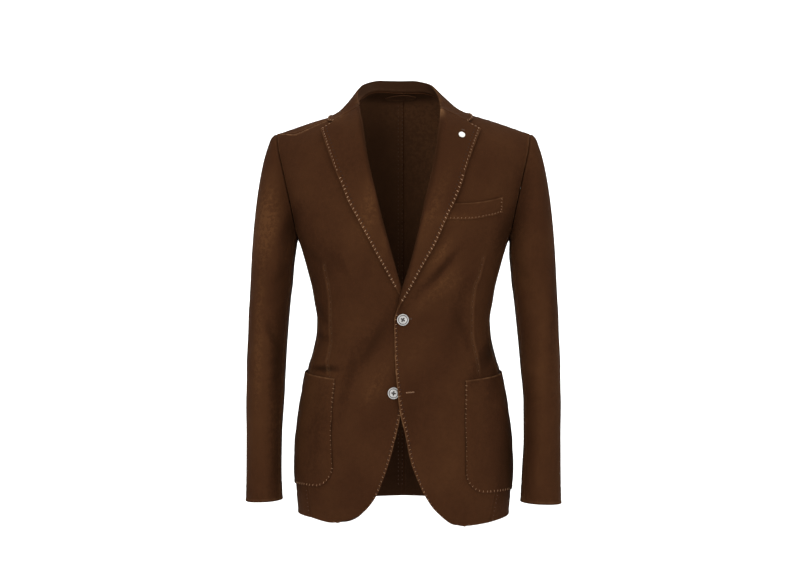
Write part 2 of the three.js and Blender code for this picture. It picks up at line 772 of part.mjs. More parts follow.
function standPoint(side, share, v) {
  const fold = foldPoint(side, share);
  const out = vector(fold.x - NECK_X, fold.y - 6, 0).normalize();
  fold.addScaledVector(out, -GAP / 2);
  return standFoot(side, share).lerp(fold, v);
}

function collarStand() {
  const half = [...steps(NECK_STEPS).map((t) => t * NECK_SHARE), 0.69, 0.81, STAND_END];
  const us = [...half.slice(1).reverse().map((s) => 0.5 - s / 2), ...half.map((s) => 0.5 + s / 2)];
  const surface = withNormal(bothSides(standPoint), -1);
  return clothMesh("collar_stand", clothWall(surface, us, steps(3)), COLOURS.inside);
}

// A half-moon tab inside the back, under the stand.
function neckTab() {
  const spread = 4.2;
  const depth = 13;
  const clear = 3;
  const middle = Math.sign(NECK_X) * (180 - 0.9);
  const surface = (u, v) => {
    const turn = mix(-1, 1, u);
    const round = Math.abs(middle) - spread * turn;
    const drop = 2 + depth * v * Math.sqrt(1.02 - turn * turn);
    const place = { angle: -round, down: nape.down + drop };
    return torsoSkin(place, -CLOTH - clear);
  };
  return clothMesh("neck_tab", clothWall(surface, steps(10), steps(2), 1.2), COLOURS.inside);
}

// Pockets
function patchPocket(side) {
  const size = PATCH[side.name];
  const front = follow(PATCH_FRONT, "share", side.name);
  const surface = (s, v) => {
    const u = (1 - Math.cos(Math.PI * s)) / 2;
    const angle = mix(front(v), size.rear, u);
    const wide = 160;
    const fromEnd = Math.min(u, 1 - u) * wide;
    const inCorner = Math.max(0, 1 - fromEnd / size.corner);
    const low = size.bottom + size.corner * (1 - Math.sqrt(1 - inCorner * inCorner));
    const high = size.top + size.rise * u;
    const gape = 1.4 * ease(0.8, 1, v) * 4 * u * (1 - u);
    const place = torsoPlaceAt(side.sign * angle, mix(low, high, v));
    return torsoSkin(place, CLOTH + LAY + gape);
  };
  return clothMesh(`patch_pocket_${side.name}`, clothWall(surface, steps(12), steps(9)));
}

function breastWelt() {
  const bottom = follow(WELT, "x", "bottom");
  const top = follow(WELT, "x", "top");
  const surface = (u, v) => {
    const x = mix(mix(WELT_END.bottom, WELT_END.top, v), WELT.at(-1).x, u);
    return torsoSkin(torsoPlace(x, mix(bottom(x), top(x), v)), CLOTH + LAY);
  };
  return clothMesh("breast_welt", clothWall(surface, steps(10), steps(3)));
}

// Sleeves
const sleeveTracks = {
  outer: follow(SLEEVE, "z", "outer"),
  left: follow(SLEEVE, "z", "innerLeft"),
  right: follow(SLEEVE, "z", "innerRight"),
  halfDepth: follow(SLEEVE, "z", "halfDepth"),
  y: follow(SLEEVE, "z", "y"),
};
const SLEEVE_SQUARENESS = 2.15;
const CUFF_TILT = 1.4; // the cuff is this much lower outside than at its middle

// A point of the sleeve's tube; the angle runs from the outermost line by way of the front.
function tubePoint(side, round, z) {
  const outer = sleeveTracks.outer(z);
  const inner = sleeveTracks[side.name](z);
  const cosine = Math.cos(round * DEG);
  const sine = Math.sin(round * DEG);
  const across = Math.sign(cosine) * Math.abs(cosine) ** (2 / SLEEVE_SQUARENESS);
  const along = Math.sign(sine) * Math.abs(sine) ** (2 / SLEEVE_SQUARENESS);
  const x = (outer + inner) / 2 + ((outer - inner) / 2) * across;
  const y = sleeveTracks.y(z) - sleeveTracks.halfDepth(z) * along;
  return vector(side.sign * x, y, z - CUFF_TILT * cosine * ease(-500, CUFF_Z[side.name], z));
}

// Degrees round the sleeve against shares of the armhole's curve, matched by length along it.
function armholeRounds(side) {
  const count = 240;
  const points = steps(count).map((share) => torsoPoint(armholePlace(side.sign, share)));
  const lengths = [0];
  for (let i = 1; i <= count; i += 1) lengths.push(lengths[i - 1] + points[i].distanceTo(points[i - 1]));
  const rows = lengths.map((length, i) => ({ round: (360 * length) / lengths[count], share: i / count }));
  return { share: follow(rows, "round", "share"), round: follow(rows, "share", "round") };
}
const armholeRound = Object.fromEntries(sides.map((side) => [side.name, armholeRounds(side)]));
const turnOf = (round) => ((round % 360) + 360) % 360;

// Where the sleeve starts, just off the armhole's edge, and the way that it sets out.
function sleeveStart(side, round) {
  const share = armholeRound[side.name].share(turnOf(round));
  const place = armholePlace(side.sign, share);
  const point = torsoPoint(place);
  const normal = torsoNormal(place);
  const before = torsoPoint(armholePlace(side.sign, Math.max(0, share - 0.004)));
  const after = torsoPoint(armholePlace(side.sign, Math.min(1, share + 0.004)));
  const tangent = after.sub(before).normalize();
  const off = normal.clone().cross(tangent).multiplyScalar(side.sign).normalize();
  const top = (1 + Math.cos(round * DEG)) / 2;
  const way = vector(
    side.sign * (0.12 + 0.85 * top ** 0.6),
    -0.6 * Math.sin(round * DEG),
    -(0.22 + 0.8 * (1 - top) ** 1.5),
  ).normalize();
  const half = Math.atan2(way.dot(normal), way.dot(off)) / 2;
  point.addScaledVector(off, GAP * Math.cos(half)).addScaledVector(normal, GAP * Math.sin(half));
  return { point, way, top };
}

function capPoint(side, round, t) {
  const { point, way, top } = sleeveStart(side, round);
  const end = tubePoint(side, round, CAP_Z);
  const up = end.clone().sub(tubePoint(side, round, CAP_Z - 12)).normalize();
  const far = end.distanceTo(point);
  const leave = point.clone().addScaledVector(way, far * mix(0.28, 0.1, top));
  const arrive = end.clone().addScaledVector(up, far * mix(0.3, 0.5, top));
  return new THREE.CubicBezierCurve3(point, leave, arrive, end).getPoint(t);
}

function sleeveFold(round, z) {
  const circle = 52;
  return SLEEVE_FOLDS.reduce((sum, fold) => {
    const beside = (round - fold.round) * DEG * circle;
    return sum + ridge(beside, z - fold.z, fold);
  }, 0);
}

// The sleeve from its head (v = 0) to its cuff (v = 1).
const CAP_PART = 0.36;

function sleevePoint(side, round, v) {
  if (v <= CAP_PART) return capPoint(side, round, v / CAP_PART);
  return tubePoint(side, round, mix(CAP_Z, CUFF_Z[side.name], (v - CAP_PART) / (1 - CAP_PART)));
}

// The sleeve's columns start where the panels' rows and columns meet the armhole.
const frontShare = armholeShare(ARMHOLE_FRONT_SEAM);
const backShare = armholeShare(ARMHOLE_BACK_SEAM);
const ringShares = [
  ...steps(ARMHOLE_STEPS).map((t) => frontShare * t),
  ...steps(SIDE_STEPS).slice(1).map((t) => mix(frontShare, backShare, t)),
  ...steps(ARMHOLE_STEPS).slice(1).map((t) => mix(backShare, 1, t)),
];
const SLEEVE_FRONT_SEAM = 8; // the column at the sleeve's front seam
const SLEEVE_BACK_SEAM = 17;
const SLEEVE_SEAM_GAP = 0.22; // half a seam's gap, in degrees round the sleeve

function sleevePiece(name, side, rounds) {
  const last = rounds.length - 1;
  const roundAt = (u) => {
    const i = Math.min(last - 1, Math.floor(u * last));
    return mix(rounds[i], rounds[i + 1], u * last - i);
  };
  const plain = withNormal((u, v) => sleevePoint(side, roundAt(u), v), side.sign);
  const surface = (u, v) => {
    const { point, normal } = plain(u, v);
    const fold = ease(0, 0.12, v) * sleeveFold(turnOf(roundAt(u)), point.z);
    return { point: point.addScaledVector(normal, fold), normal };
  };
  const vs = [0, 0.04, 0.09, 0.15, 0.22, 0.29, ...steps(10).map((t) => mix(CAP_PART, 1, t))];
  return clothMesh(`${name}_${side.name}`, clothWall(surface, steps(last), vs));
}

function sleeve(side) {
  const rounds = ringShares.map((share) => armholeRound[side.name].round(share));
  const under = rounds.slice(SLEEVE_FRONT_SEAM, SLEEVE_BACK_SEAM + 1);
  const behind = rounds.slice(SLEEVE_BACK_SEAM, -1).map((round) => round - 360);
  const top = [...behind, ...rounds.slice(0, SLEEVE_FRONT_SEAM + 1)];
  for (const piece of [top, under]) {
    piece[0] += SLEEVE_SEAM_GAP;
    piece[piece.length - 1] -= SLEEVE_SEAM_GAP;
  }
  return [sleevePiece("top_sleeve", side, top), sleevePiece("under_sleeve", side, under)];
}

// Buttons and stud
function solidOf(geometry) {
  const bare = geometry.clone();
  bare.deleteAttribute("normal");
  bare.deleteAttribute("uv");
  const merged = mergeVertices(bare, 1e-4);
  const mesh = new wasm.Mesh({
    numProp: 3,
    vertProperties: merged.attributes.position.array,
    triVerts: new Uint32Array(merged.index.array),
  });
  return new wasm.Manifold(mesh);
}

function geometryOf(solid) {
  const { vertProperties, triVerts } = solid.getMesh();
  const geometry = new THREE.BufferGeometry();
  geometry.setAttribute("position", new THREE.BufferAttribute(vertProperties, 3));
  geometry.setIndex(new THREE.BufferAttribute(triVerts, 1));
  geometry.computeVertexNormals();
  return geometry;
}

// A dished disc with a raised rim, its back at z = 0, and four holes for its thread.
function buttonGeometry() {
  const { radius, thick, rim, dish, hole, spacing } = BUTTON;
  const profile = [
    [0, 0],
    [radius - 1.6, 0],
    [radius - 0.3, 0.7],
    [radius, 1.6],
    [radius - 0.5, thick - 0.3],
    [radius - rim * 0.6, thick],
    [radius - rim, thick - 0.3],
    [radius - rim - 1.1, thick - dish],
    [0, thick - dish],
  ].map(([r, z]) => new THREE.Vector2(r, z));
  const disc = new THREE.LatheGeometry(profile, 20).rotateX(Math.PI / 2);
  let solid = solidOf(disc);
  for (const [x, y] of [[-1, -1], [1, -1], [1, 1], [-1, 1]]) {
    const bore = new THREE.CylinderGeometry(hole, hole, thick * 3, 6).rotateX(Math.PI / 2);
    bore.translate((x * spacing) / Math.SQRT2, (y * spacing) / Math.SQRT2, 0);
    solid = solid.subtract(solidOf(bore));
  }
  return geometryOf(solid);
}

// A shallow dome on a flat back.
function studGeometry() {
  const { radius, thick } = STUD;
  const dome = steps(5).map((t) => {
    const turn = (t * Math.PI) / 2;
    return new THREE.Vector2(radius * Math.cos(turn), 0.7 + (thick - 0.7) * Math.sin(turn));
  });
  dome[5].x = 0;
  const profile = [new THREE.Vector2(0, 0), new THREE.Vector2(radius - 0.4, 0), ...dome];
  return geometryOf(solidOf(new THREE.LatheGeometry(profile, 18).rotateX(Math.PI / 2)));
}

// A round piece laid on a surface, its back just off it.
function laidOn(name, geometry, material, { point, normal }, clear) {
  const mesh = new THREE.Mesh(geometry, material);
  mesh.name = name;
  mesh.position.copy(point).addScaledVector(normal, clear);
  mesh.quaternion.setFromUnitVectors(vector(0, 0, 1), normal);
  return mesh;
}

function frontSkinAt(side, x, z) {
  const place = torsoPlace(x, z);
  return torsoSkin(place, frontLift(side, torsoPoint(place)));
}

function fastenings() {
  return [
    laidOn("button_upper", buttonGeometry(), COLOURS.button, frontSkinAt(LEFT, -1.2, -368), BUTTON_CLEAR),
    laidOn("button_lower", buttonGeometry(), COLOURS.button, frontSkinAt(RIGHT, -17, -493), LOWER_CLEAR),
    laidOn("lapel_stud", studGeometry(), COLOURS.stud, lapelSkin(sides[0], 0.615, 0.9175), GAP),
  ];
}

const jacket = new THREE.Group();
for (const side of sides) {
  jacket.add(frontPanel(side), sidePanel(side), backPanel(side), lapel(side), patchPocket(side));
  jacket.add(...sleeve(side));
}
jacket.add(collarLeaf(), collarStand(), neckTab(), breastWelt(), ...fastenings());

export default jacket;
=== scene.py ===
# A two-button cotton blazer, filled out as if worn, with nothing inside it.
# Shapes are worked out in millimetres and written to Blender in metres.
# The front faces -Y and the wearer's left is at +X.
import math

import bmesh
import bpy
import numpy as np
from mathutils import Matrix, Vector


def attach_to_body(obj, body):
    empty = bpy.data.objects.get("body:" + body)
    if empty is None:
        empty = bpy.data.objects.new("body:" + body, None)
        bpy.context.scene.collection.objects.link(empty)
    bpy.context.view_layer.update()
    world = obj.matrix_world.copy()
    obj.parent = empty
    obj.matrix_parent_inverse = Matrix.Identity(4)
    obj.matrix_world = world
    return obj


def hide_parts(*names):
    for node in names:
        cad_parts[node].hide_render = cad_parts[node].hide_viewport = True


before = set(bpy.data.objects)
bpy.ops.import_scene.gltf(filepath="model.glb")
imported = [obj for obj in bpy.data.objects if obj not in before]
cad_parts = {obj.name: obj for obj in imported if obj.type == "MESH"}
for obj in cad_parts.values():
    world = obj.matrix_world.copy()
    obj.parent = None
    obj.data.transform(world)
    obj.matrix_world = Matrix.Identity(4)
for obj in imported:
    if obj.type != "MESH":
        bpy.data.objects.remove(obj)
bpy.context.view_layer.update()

# Driving dimensions, the same as the solids'
CLOTH = 1.6
GAP = 0.4
LAY = 0.9
SQUARENESS = 2.4
REACH = 115
CREST_Y = 5
NECK_X = -6
SEAM_ANGLE = 0.08
CUFF_Z = {"left": -686.3, "right": -682}
CAP_Z = -262
PITCH = 3.4  # spacing of the cloth's grid
DEG = math.pi / 180
LEFT = 1
RIGHT = -1
SIDES = (("left", LEFT), ("right", RIGHT))


def table(columns, rows):
    return {name: np.array([row[i] for row in rows], float) for i, name in enumerate(columns)}


TORSO = table(("z", "halfWidth", "front", "back"), [
    (-735, 184, 128, 116), (-704, 185.5, 129, 117), (-673, 188, 130, 118), (-637, 190, 131, 120),
    (-587, 188.5, 130, 119), (-529, 182, 127, 113), (-492, 176, 124, 107), (-458, 169, 121, 102),
    (-425, 160, 118, 97), (-393, 153.5, 115, 93), (-371, 152, 113, 90), (-335, 157.5, 114, 92),
    (-316, 160.5, 116, 95), (-282, 169, 119, 101), (-240, 181, 123, 108), (-220, 188.5, 124, 110),
    (-200, 196, 124, 112), (-120, 218, 120, 112), (-46, 238, 112, 108), (40, 250, 105, 100),
])
HEM = table(("angle", "left", "right"), [
    (0, -719.5, -717.5), (29, -719.5, -717.5), (45, -717, -713), (57, -713.5, -708.5), (75, -709.7, -706.5),
    (90, -706.5, -705), (120, -700, -700), (150, -694, -694), (180, -690, -690),
])
FRONT_EDGE = {
    "left": table(("z", "x"), [
        (-719.8, 102), (-716, 84), (-706.5, 69), (-689, 51), (-666.5, 36.5), (-635, 22), (-604, 11.4),
        (-560, 2.7), (-528, -5), (-493, -9.4), (-430, -14.3), (-369, -15.2), (-349, -10.5), (-327, -5.5),
        (-272, 11.4), (-234, 21.9), (-163, 37.7), (-101, 52), (-61, 58.3), (-5, 65), (20, 66),
    ]),
    "right": table(("z", "x"), [
        (-713.6, 111), (-707.4, 88), (-694, 67), (-669, 48), (-643, 37), (-615, 27), (-575, 16), (-528, 5),
        (-493, -3), (-430, -10), (-369, -14), (-349, -10), (-306, 6.7), (-266, 17.9), (-222, 30.2),
        (-163, 45.8), (-85, 63.6), (-36, 70.8), (-1, 77), (20, 78),
    ]),
}
LAPEL_EDGE = {
    "left": table(("z", "x"), [
        (-348, -8.6), (-331, -0.2), (-312, 11.4), (-273, 32.5), (-240, 51.5), (-190, 74.1), (-164, 86.6),
        (-137, 97.1), (-112, 104.5), (-76, 117.5), (-42, 131.3),
    ]),
    "right": table(("z", "x"), [
        (-327, 5.5), (-312, 13.5), (-241, 52.4), (-190, 80), (-163, 94.3), (-143, 101.8), (-112, 115),
        (-76, 129), (-42, 141.3),
    ]),
}
ROLL_FOOT = {"left": -346, "right": -322}
ROLL_TOP = {"left": -5, "right": -1}
NOTCH_SHARE = 0.67
SIDE_SEAMS = table(("z", "left", "right", "back"), [
    (-735, 49, 56, 127), (-600, 59, 60, 125), (-480, 69, 69, 121), (-400, 74, 74, 118), (-300, 76, 76, 113),
    (-190, 76, 76, 106),
])
ARMHOLE = table(("angle", "z"), [
    (67, -45.5), (67.6, -57), (68.6, -72), (69.6, -100), (70.6, -130), (71.4, -160), (73, -184), (76, -205),
    (82, -221), (90, -227), (98, -222), (103, -208), (106, -185), (108, -150), (109.5, -110), (111.5, -72),
    (112.6, -57), (113, -45.5),
])
ARMHOLE_FRONT_SEAM = 7
ARMHOLE_BACK_SEAM = 12
SHOULDER_SEAM = {
    "left": table(("share", "forward"), [(0, 6), (0.5, 8), (1, 5)]),
    "right": table(("share", "forward"), [(0, 30), (0.3, 44), (0.62, 56), (0.85, 30), (1, 5)]),
}
NECK_ANGLE = {"left": 12.4, "right": 15}
NAPE_Z = 36
COLLAR = table(("foldX", "foldY", "foldZ", "edgeX", "edgeDown", "bulge", "sag"), [
    (0, 62, 57, 0, -98, 5, 0), (28, 59, 57, 40, -78, 5, 0), (49, 47, 52.5, 76, -52, 4, 0),
    (62, 27, 45, 104, -32, 1, 4), (71, 0, 28, 121, 0, 0, 4.5), (72.5, -20, 17, 125, 28, 0, 4),
    (72.5, -32, 7.5, 125.5, 50, 0, 2),
])
COLLAR_LEAN = -5.5
WELT_END = {"bottom": 66, "top": 79}
WELT = table(("x", "bottom", "top"), [
    (80, -196, -170), (100, -196, -169.6), (118, -195, -168.4), (141, -190.5, -165), (156, -187, -161.5),
    (169, -182.5, -157.5),
])
PATCH = {
    "left": {"rear": 96, "bottom": -664, "top": -473, "rise": 14, "corner": 34},
    "right": {"rear": 98, "bottom": -653.5, "top": -470, "rise": 12, "corner": 34},
}
PATCH_FRONT = table(("share", "left", "right"), [(0, 30, 35.8), (0.5, 30.6, 38.2), (1, 33.9, 39.3)])
SLEEVE = table(("z", "outer", "left", "right", "halfDepth", "y"), [
    (-235, 265, 183, 186, 77, 3), (-262, 267, 186, 190.5, 76, 2), (-300, 268.8, 190, 194.5, 73, 1),
    (-344, 270.8, 195, 199, 70, -2), (-410, 273.2, 201.5, 204, 67, -7), (-458, 275, 205.5, 206.5, 64, -11),
    (-510, 275.6, 210, 209, 61, -15), (-574, 274.5, 210, 212.5, 57, -20), (-630, 274.5, 207, 213, 54, -24),
    (-690, 275.5, 203.5, 210.5, 51, -28),
])

# Folds of the torso: x, face (-1 front, 1 back), z, direction, half length, half width, height.
# The first twelve are the solids' own; the rest are the smaller creases between them.
TORSO_FOLDS = [
    (45, -1, -318, 62, 62, 13, 2.2), (76, -1, -352, 38, 54, 15, -2), (-58, -1, -334, -58, 60, 14, 2),
    (-88, -1, -366, -30, 48, 15, -1.8), (92, -1, -255, 70, 60, 18, 1.6), (-96, -1, -240, -68, 60, 18, 1.6),
    (152, -1, -420, -24, 46, 12, -2.4), (-150, -1, -410, 24, 44, 12, -2.2), (70, 1, -350, 14, 74, 13, -2.6),
    (-66, 1, -366, -12, 70, 13, -2.4), (96, 1, -172, 72, 70, 18, 2.4), (-100, 1, -180, -70, 72, 18, 2.4),
    (60, -1, -300, 66, 34, 5.5, -1.1), (28, -1, -352, 30, 30, 6, -0.9), (-34, -1, -350, -34, 32, 6, -0.9),
    (100, -1, -392, 12, 34, 5, -0.8), (-104, -1, -396, -8, 36, 5, -0.8), (126, -1, -366, -30, 28, 5.5, 0.9),
    (-126, -1, -360, 28, 28, 5.5, 0.9), (146, -1, -448, -12, 30, 6, 0.9), (-142, -1, -440, 12, 30, 6, 0.9),
    (30, -1, -540, 80, 70, 9, 0.9), (-44, -1, -560, -82, 70, 9, 0.8), (10, -1, -430, 16, 26, 6, -0.8),
    (-40, -1, -440, -14, 30, 6, -0.7), (70, -1, -440, 6, 30, 6, 0.7), (120, -1, -120, 60, 40, 8, 0.9),
    (-130, -1, -120, -60, 44, 8, 0.9), (168, -1, -190, -52, 30, 6, -1.1), (-160, -1, -196, 52, 30, 6, -1.1),
    (150, -1, -232, -30, 26, 6, 0.9), (-146, -1, -238, 30, 26, 6, 0.9), (40, -1, -640, 70, 50, 9, 0.8),
    (-70, -1, -650, -72, 50, 9, 0.8), (34, 1, -300, 8, 40, 7, -1), (-30, 1, -320, -6, 40, 7, -1),
    (110, 1, -380, 20, 40, 7, 1), (-112, 1, -394, -20, 40, 7, 1), (50, 1, -560, 78, 80, 11, 1.1),
    (-58, 1, -590, -80, 80, 11, 1.1), (30, 1, -60, 20, 40, 9, -0.8), (-34, 1, -66, -20, 40, 9, -0.8),
]
# Folds of the sleeves: degrees round from the outermost line by way of the front, then as above.
SLEEVE_FOLDS = [
    (92, -452, 16, 46, 10, -3), (108, -488, -10, 42, 10, 2.4), (70, -420, 24, 40, 11, 1.8),
    (118, -300, 34, 44, 12, -2.6), (60, -330, 40, 50, 14, 1.8), (250, -300, -30, 44, 13, -2.2),
    (84, -470, 10, 26, 4.5, 1.1), (104, -432, 24, 26, 5, -1.1), (60, -500, -14, 30, 5.5, -0.9),
    (126, -470, 4, 26, 5, -1.2), (130, -520, -8, 30, 6, 1), (80, -560, 80, 50, 8, 0.9),
    (64, -620, 84, 44, 8, -0.8), (110, -640, 76, 40, 8, 0.9), (40, -380, 62, 50, 9, 0.9),
    (88, -350, 48, 36, 6, -1), (128, -340, 40, 30, 6, 1.1), (20, -460, 70, 60, 10, -0.8),
    (300, -420, -20, 40, 8, -1.1), (270, -470, 8, 40, 7, -1.4), (262, -440, 20, 36, 7, 1.1),
    (240, -500, -10, 40, 8, 1), (220, -330, -40, 40, 8, 1.1), (330, -300, 80, 50, 10, 0.8),
    (36, -660, 12, 24, 5, -0.6), (96, -668, -8, 24, 5, 0.6),
]
LIFTS = [(-9, -493, 24, 46, 5.4), (-3, -325, 26, 40, 4.6)]


# Curves
def mix(a, b, t):
    return a + (b - a) * t


def ease(start, end, value):
    t = np.clip((np.asarray(value, float) - start) / (end - start), 0, 1)
    return t * t * (3 - 2 * t)


def hump(value, middle, wide):
    return np.exp(-(((value - middle) / wide) ** 2))


def unit(v):
    return v / np.maximum(np.linalg.norm(v, axis=-1, keepdims=True), 1e-9)


def dot(a, b):
    return (a * b).sum(-1)


# A monotone cubic through a table's rows, as a function of one column.
def follow(rows, start, end):
    order = np.argsort(rows[start])
    xs = rows[start][order]
    ys = rows[end][order]
    rises = np.diff(ys) / np.diff(xs)
    last = len(rises) - 1
    before = rises[np.maximum(0, np.arange(len(xs)) - 1)]
    after = rises[np.minimum(last, np.arange(len(xs)))]
    both = before + after
    slopes = np.where(before * after > 0, 2 * before * after / np.where(both == 0, 1, both), 0)

    def curve(value):
        x = np.clip(np.asarray(value, float), xs[0], xs[-1])
        i = np.minimum(np.searchsorted(xs[1:], x, "left"), last)
        width = xs[i + 1] - xs[i]
        t = (x - xs[i]) / width
        rise = (1 - t) ** 2 * t * width * slopes[i] - t * t * (1 - t) * width * slopes[i + 1]
        return mix(ys[i], ys[i + 1], t * t * (3 - 2 * t)) + rise

    return curve


# Smooth uneven values along a line, between -1 and 1.
def waver(length, wave, seed):
    source = np.random.default_rng(seed)
    total = np.zeros_like(np.asarray(length, float))
    for share in (1, 0.57, 0.31):
        total = total + share * np.sin(length * 2 * math.pi / (wave * share) + source.uniform(0, 6.28))
    return total / 1.9


# Torso
half_width = follow(TORSO, "z", "halfWidth")
front_depth = follow(TORSO, "z", "front")
back_depth = follow(TORSO, "z", "back")


def crest(x):
    slope = 34.8 - 0.352 * np.hypot(x, 40) + 1.9 * ease(112, 165, np.abs(x))
    from_neck = np.minimum(1, np.abs(x - NECK_X) / 96) ** 1.8
    return slope + 16.5 * (1 + np.cos(math.pi * from_neck))


# A place is an angle round the torso and a length of cloth down from the crest, under 0 beyond it.
def torso_point(angle, down):
    angle, down = np.broadcast_arrays(np.asarray(angle, float), np.asarray(down, float))
    turn = np.where(down < 0, np.sign(angle) * 180 - angle, angle)
    length = np.abs(down)
    bend = np.minimum(length / REACH, math.pi / 2)
    drop = REACH * (1 - np.cos(bend)) + np.maximum(0, length - REACH * math.pi / 2)
    sine = np.sin(turn * DEG)
    cosine = np.cos(turn * DEG)
    across = np.sign(sine) * np.abs(sine) ** (2 / SQUARENESS)
    along = np.abs(cosine) ** (2 / SQUARENESS) * np.sin(bend)
    z = -drop
    for _ in range(6):
        x = half_width(z) * across
        z = crest(x) - drop
    y = np.where(cosine < 0, back_depth(z) * along, -front_depth(z) * along)
    return np.stack([x, CREST_Y + y, z], -1)


def torso_place(x, z, behind=False):
    x, z = np.broadcast_arrays(np.asarray(x, float), np.asarray(z, float))
    share = np.minimum(1, np.abs(x) / half_width(z))
    turn = np.arcsin(share ** (SQUARENESS / 2)) / DEG
    drop = np.maximum(0, crest(x) - z)
    near = REACH * np.arccos(1 - np.minimum(drop, REACH) / REACH)
    down = np.where(drop < REACH, near, REACH * (math.pi / 2 - 1) + drop)
    return np.where(x < 0, -1, 1) * np.where(behind, 180 - turn, turn), down


def torso_place_beside(x, down):
    drop = REACH * (1 - np.cos(np.minimum(np.abs(down) / REACH, math.pi / 2)))
    return torso_place(x, crest(x) - drop)[0], down


def torso_place_at(angle, z):
    across = np.abs(np.sin(angle * DEG)) ** (2 / SQUARENESS)
    x = np.sign(angle) * half_width(z) * across
    return angle, torso_place(x, z, np.abs(angle) > 90)[1]


def torso_normal(angle, down):
    across = torso_point(angle + 0.5, down) - torso_point(angle - 0.5, down)
    along = torso_point(angle, down + 1) - torso_point(angle, down - 1)
    return unit(np.cross(along, across))


def ridge(dx, dz, turn, long, wide, rise):
    along = dx * math.cos(turn * DEG) + dz * math.sin(turn * DEG)
    beside = dz * math.cos(turn * DEG) - dx * math.sin(turn * DEG)
    return rise * np.exp(-((along / long) ** 2) - (beside / wide) ** 2)


def torso_fold(point):
    total = np.zeros(point.shape[:-1])
    for x, face, z, turn, long, wide, rise in TORSO_FOLDS:
        here = face * (point[..., 1] - CREST_Y) > 0
        total += here * ridge(point[..., 0] - x, point[..., 2] - z, turn, long, wide, rise)
    return total


def torso_skin(place, lift=0):
    point = torso_point(*place)
    normal = torso_normal(*place)
    body = np.clip((-40 - point[..., 2]) / 60, 0, 1)
    return point + normal * (lift + body * torso_fold(point))[..., None], normal


def front_lift(sign, point):
    if sign == RIGHT:
        return np.zeros(point.shape[:-1])
    x = point[..., 0]
    z = point[..., 2]
    total = (CLOTH + LAY) * ease(62, 22, x) * ease(-262, -308, z)
    for lift_x, lift_z, wide, high, rise in LIFTS:
        total = total + rise * np.exp(-(((x - lift_x) / wide) ** 2) - ((z - lift_z) / high) ** 2)
    return total


# Grids
# Shares along a length, evenly spaced but closer together at both ends.
def stations(length, pitch=PITCH, ends=(0.8, 1.9, 3.4, 5.4)):
    near = [0.0, *ends]
    count = max(4, int(round((length - 2 * ends[-1]) / pitch)))
    middle = np.linspace(ends[-1], length - ends[-1], count + 1)[1:-1]
    far = [length - d for d in reversed(near)]
    return np.array(near + list(middle) + far) / length


def grid_normals(points):
    along = np.gradient(points, axis=0)
    across = np.gradient(points, axis=1)
    return unit(np.cross(across, along))


def facing(normal, away):
    return normal if dot(normal, away).sum() > 0 else -normal


# A grid moved out by its relief, with the normals of its new face.
def raised(points, normals, relief):
    points = points + normals * relief[..., None]
    return points, facing(grid_normals(points), normals)


# How far along a line each of its points is.
def run_of(line):
    return np.concatenate([[0], np.cumsum(np.linalg.norm(np.diff(line, axis=0), axis=1))])


def lengths(points, axis):
    step = np.linalg.norm(np.diff(points, axis=axis), axis=-1)
    pad = [(0, 0), (0, 0)]
    pad[axis] = (1, 0)
    return np.pad(np.cumsum(step, axis=axis), pad)


# Distances in mm of every point from its grid's four borders, along its row or column.
class Reach:
    def __init__(self, points):
        across = lengths(points, 1)
        along = lengths(points, 0)
        self.left = across
        self.right = across[:, -1:] - across
        self.bottom = along
        self.top = along[-1:, :] - along
        self.across = across - across[:, -1:] / 2
        self.along = along


# A sewn seam: a narrow groove, a soft ridge beside it and small uneven puckers.
def seam_relief(distance, along, seed, deep=0.9, ridge_high=0.45, pucker=0.35):
    groove = -deep * hump(distance, 0, 1.5)
    lap = ridge_high * hump(distance, 3.6, 2.6)
    ripple = pucker * waver(along, 17, seed) * np.exp(-distance / 9) * (1 - hump(distance, 0, 1.2))
    return groove + lap + ripple


# A turned and stitched free edge: full at the rim, pinched where the stitches pull it down.
def edge_relief(distance, along, seed, pitch=7.4):
    pinch = -0.5 * hump(distance, 5.2, 2.0) * (0.65 + 0.35 * np.cos(2 * math.pi * along / pitch))
    full = 0.3 * hump(distance, 1.6, 1.6)
    return pinch + full + 0.25 * waver(along, 31, seed) * np.exp(-distance / 7)


def edge_wear(distance, along, seed, wide=1.4):
    return 0.26 * hump(distance, 0, wide) * (0.6 + 0.4 * waver(along, 23, seed))


def seam_wear(distance, along, seed):
    return 0.26 * hump(distance, 3.2, 1.5) * (0.6 + 0.4 * waver(along, 19, seed))


# Meshes
def new_object(name, points, faces, materials, indices=None, attributes=None):
    mesh = bpy.data.meshes.new(name)
    mesh.from_pydata((np.asarray(points) * 0.001).tolist(), [], [list(map(int, f)) for f in faces])
    for material in materials:
        mesh.materials.append(material)
    if indices is not None:
        mesh.polygons.foreach_set("material_index", np.asarray(indices, dtype=np.int32))
    mesh.polygons.foreach_set("use_smooth", np.full(len(mesh.polygons), True))
    for key, values in (attributes or {}).items():
        values = np.asarray(values, dtype=np.float32)
        kind = "FLOAT" if values.ndim == 1 else "FLOAT_VECTOR"
        slot = mesh.attributes.new(key, kind, "POINT")
        slot.data.foreach_set("value" if values.ndim == 1 else "vector", values.ravel())
    mesh.validate()
    mesh.update()
    obj = bpy.data.objects.new(name, mesh)
    bpy.context.scene.collection.objects.link(obj)
    return obj


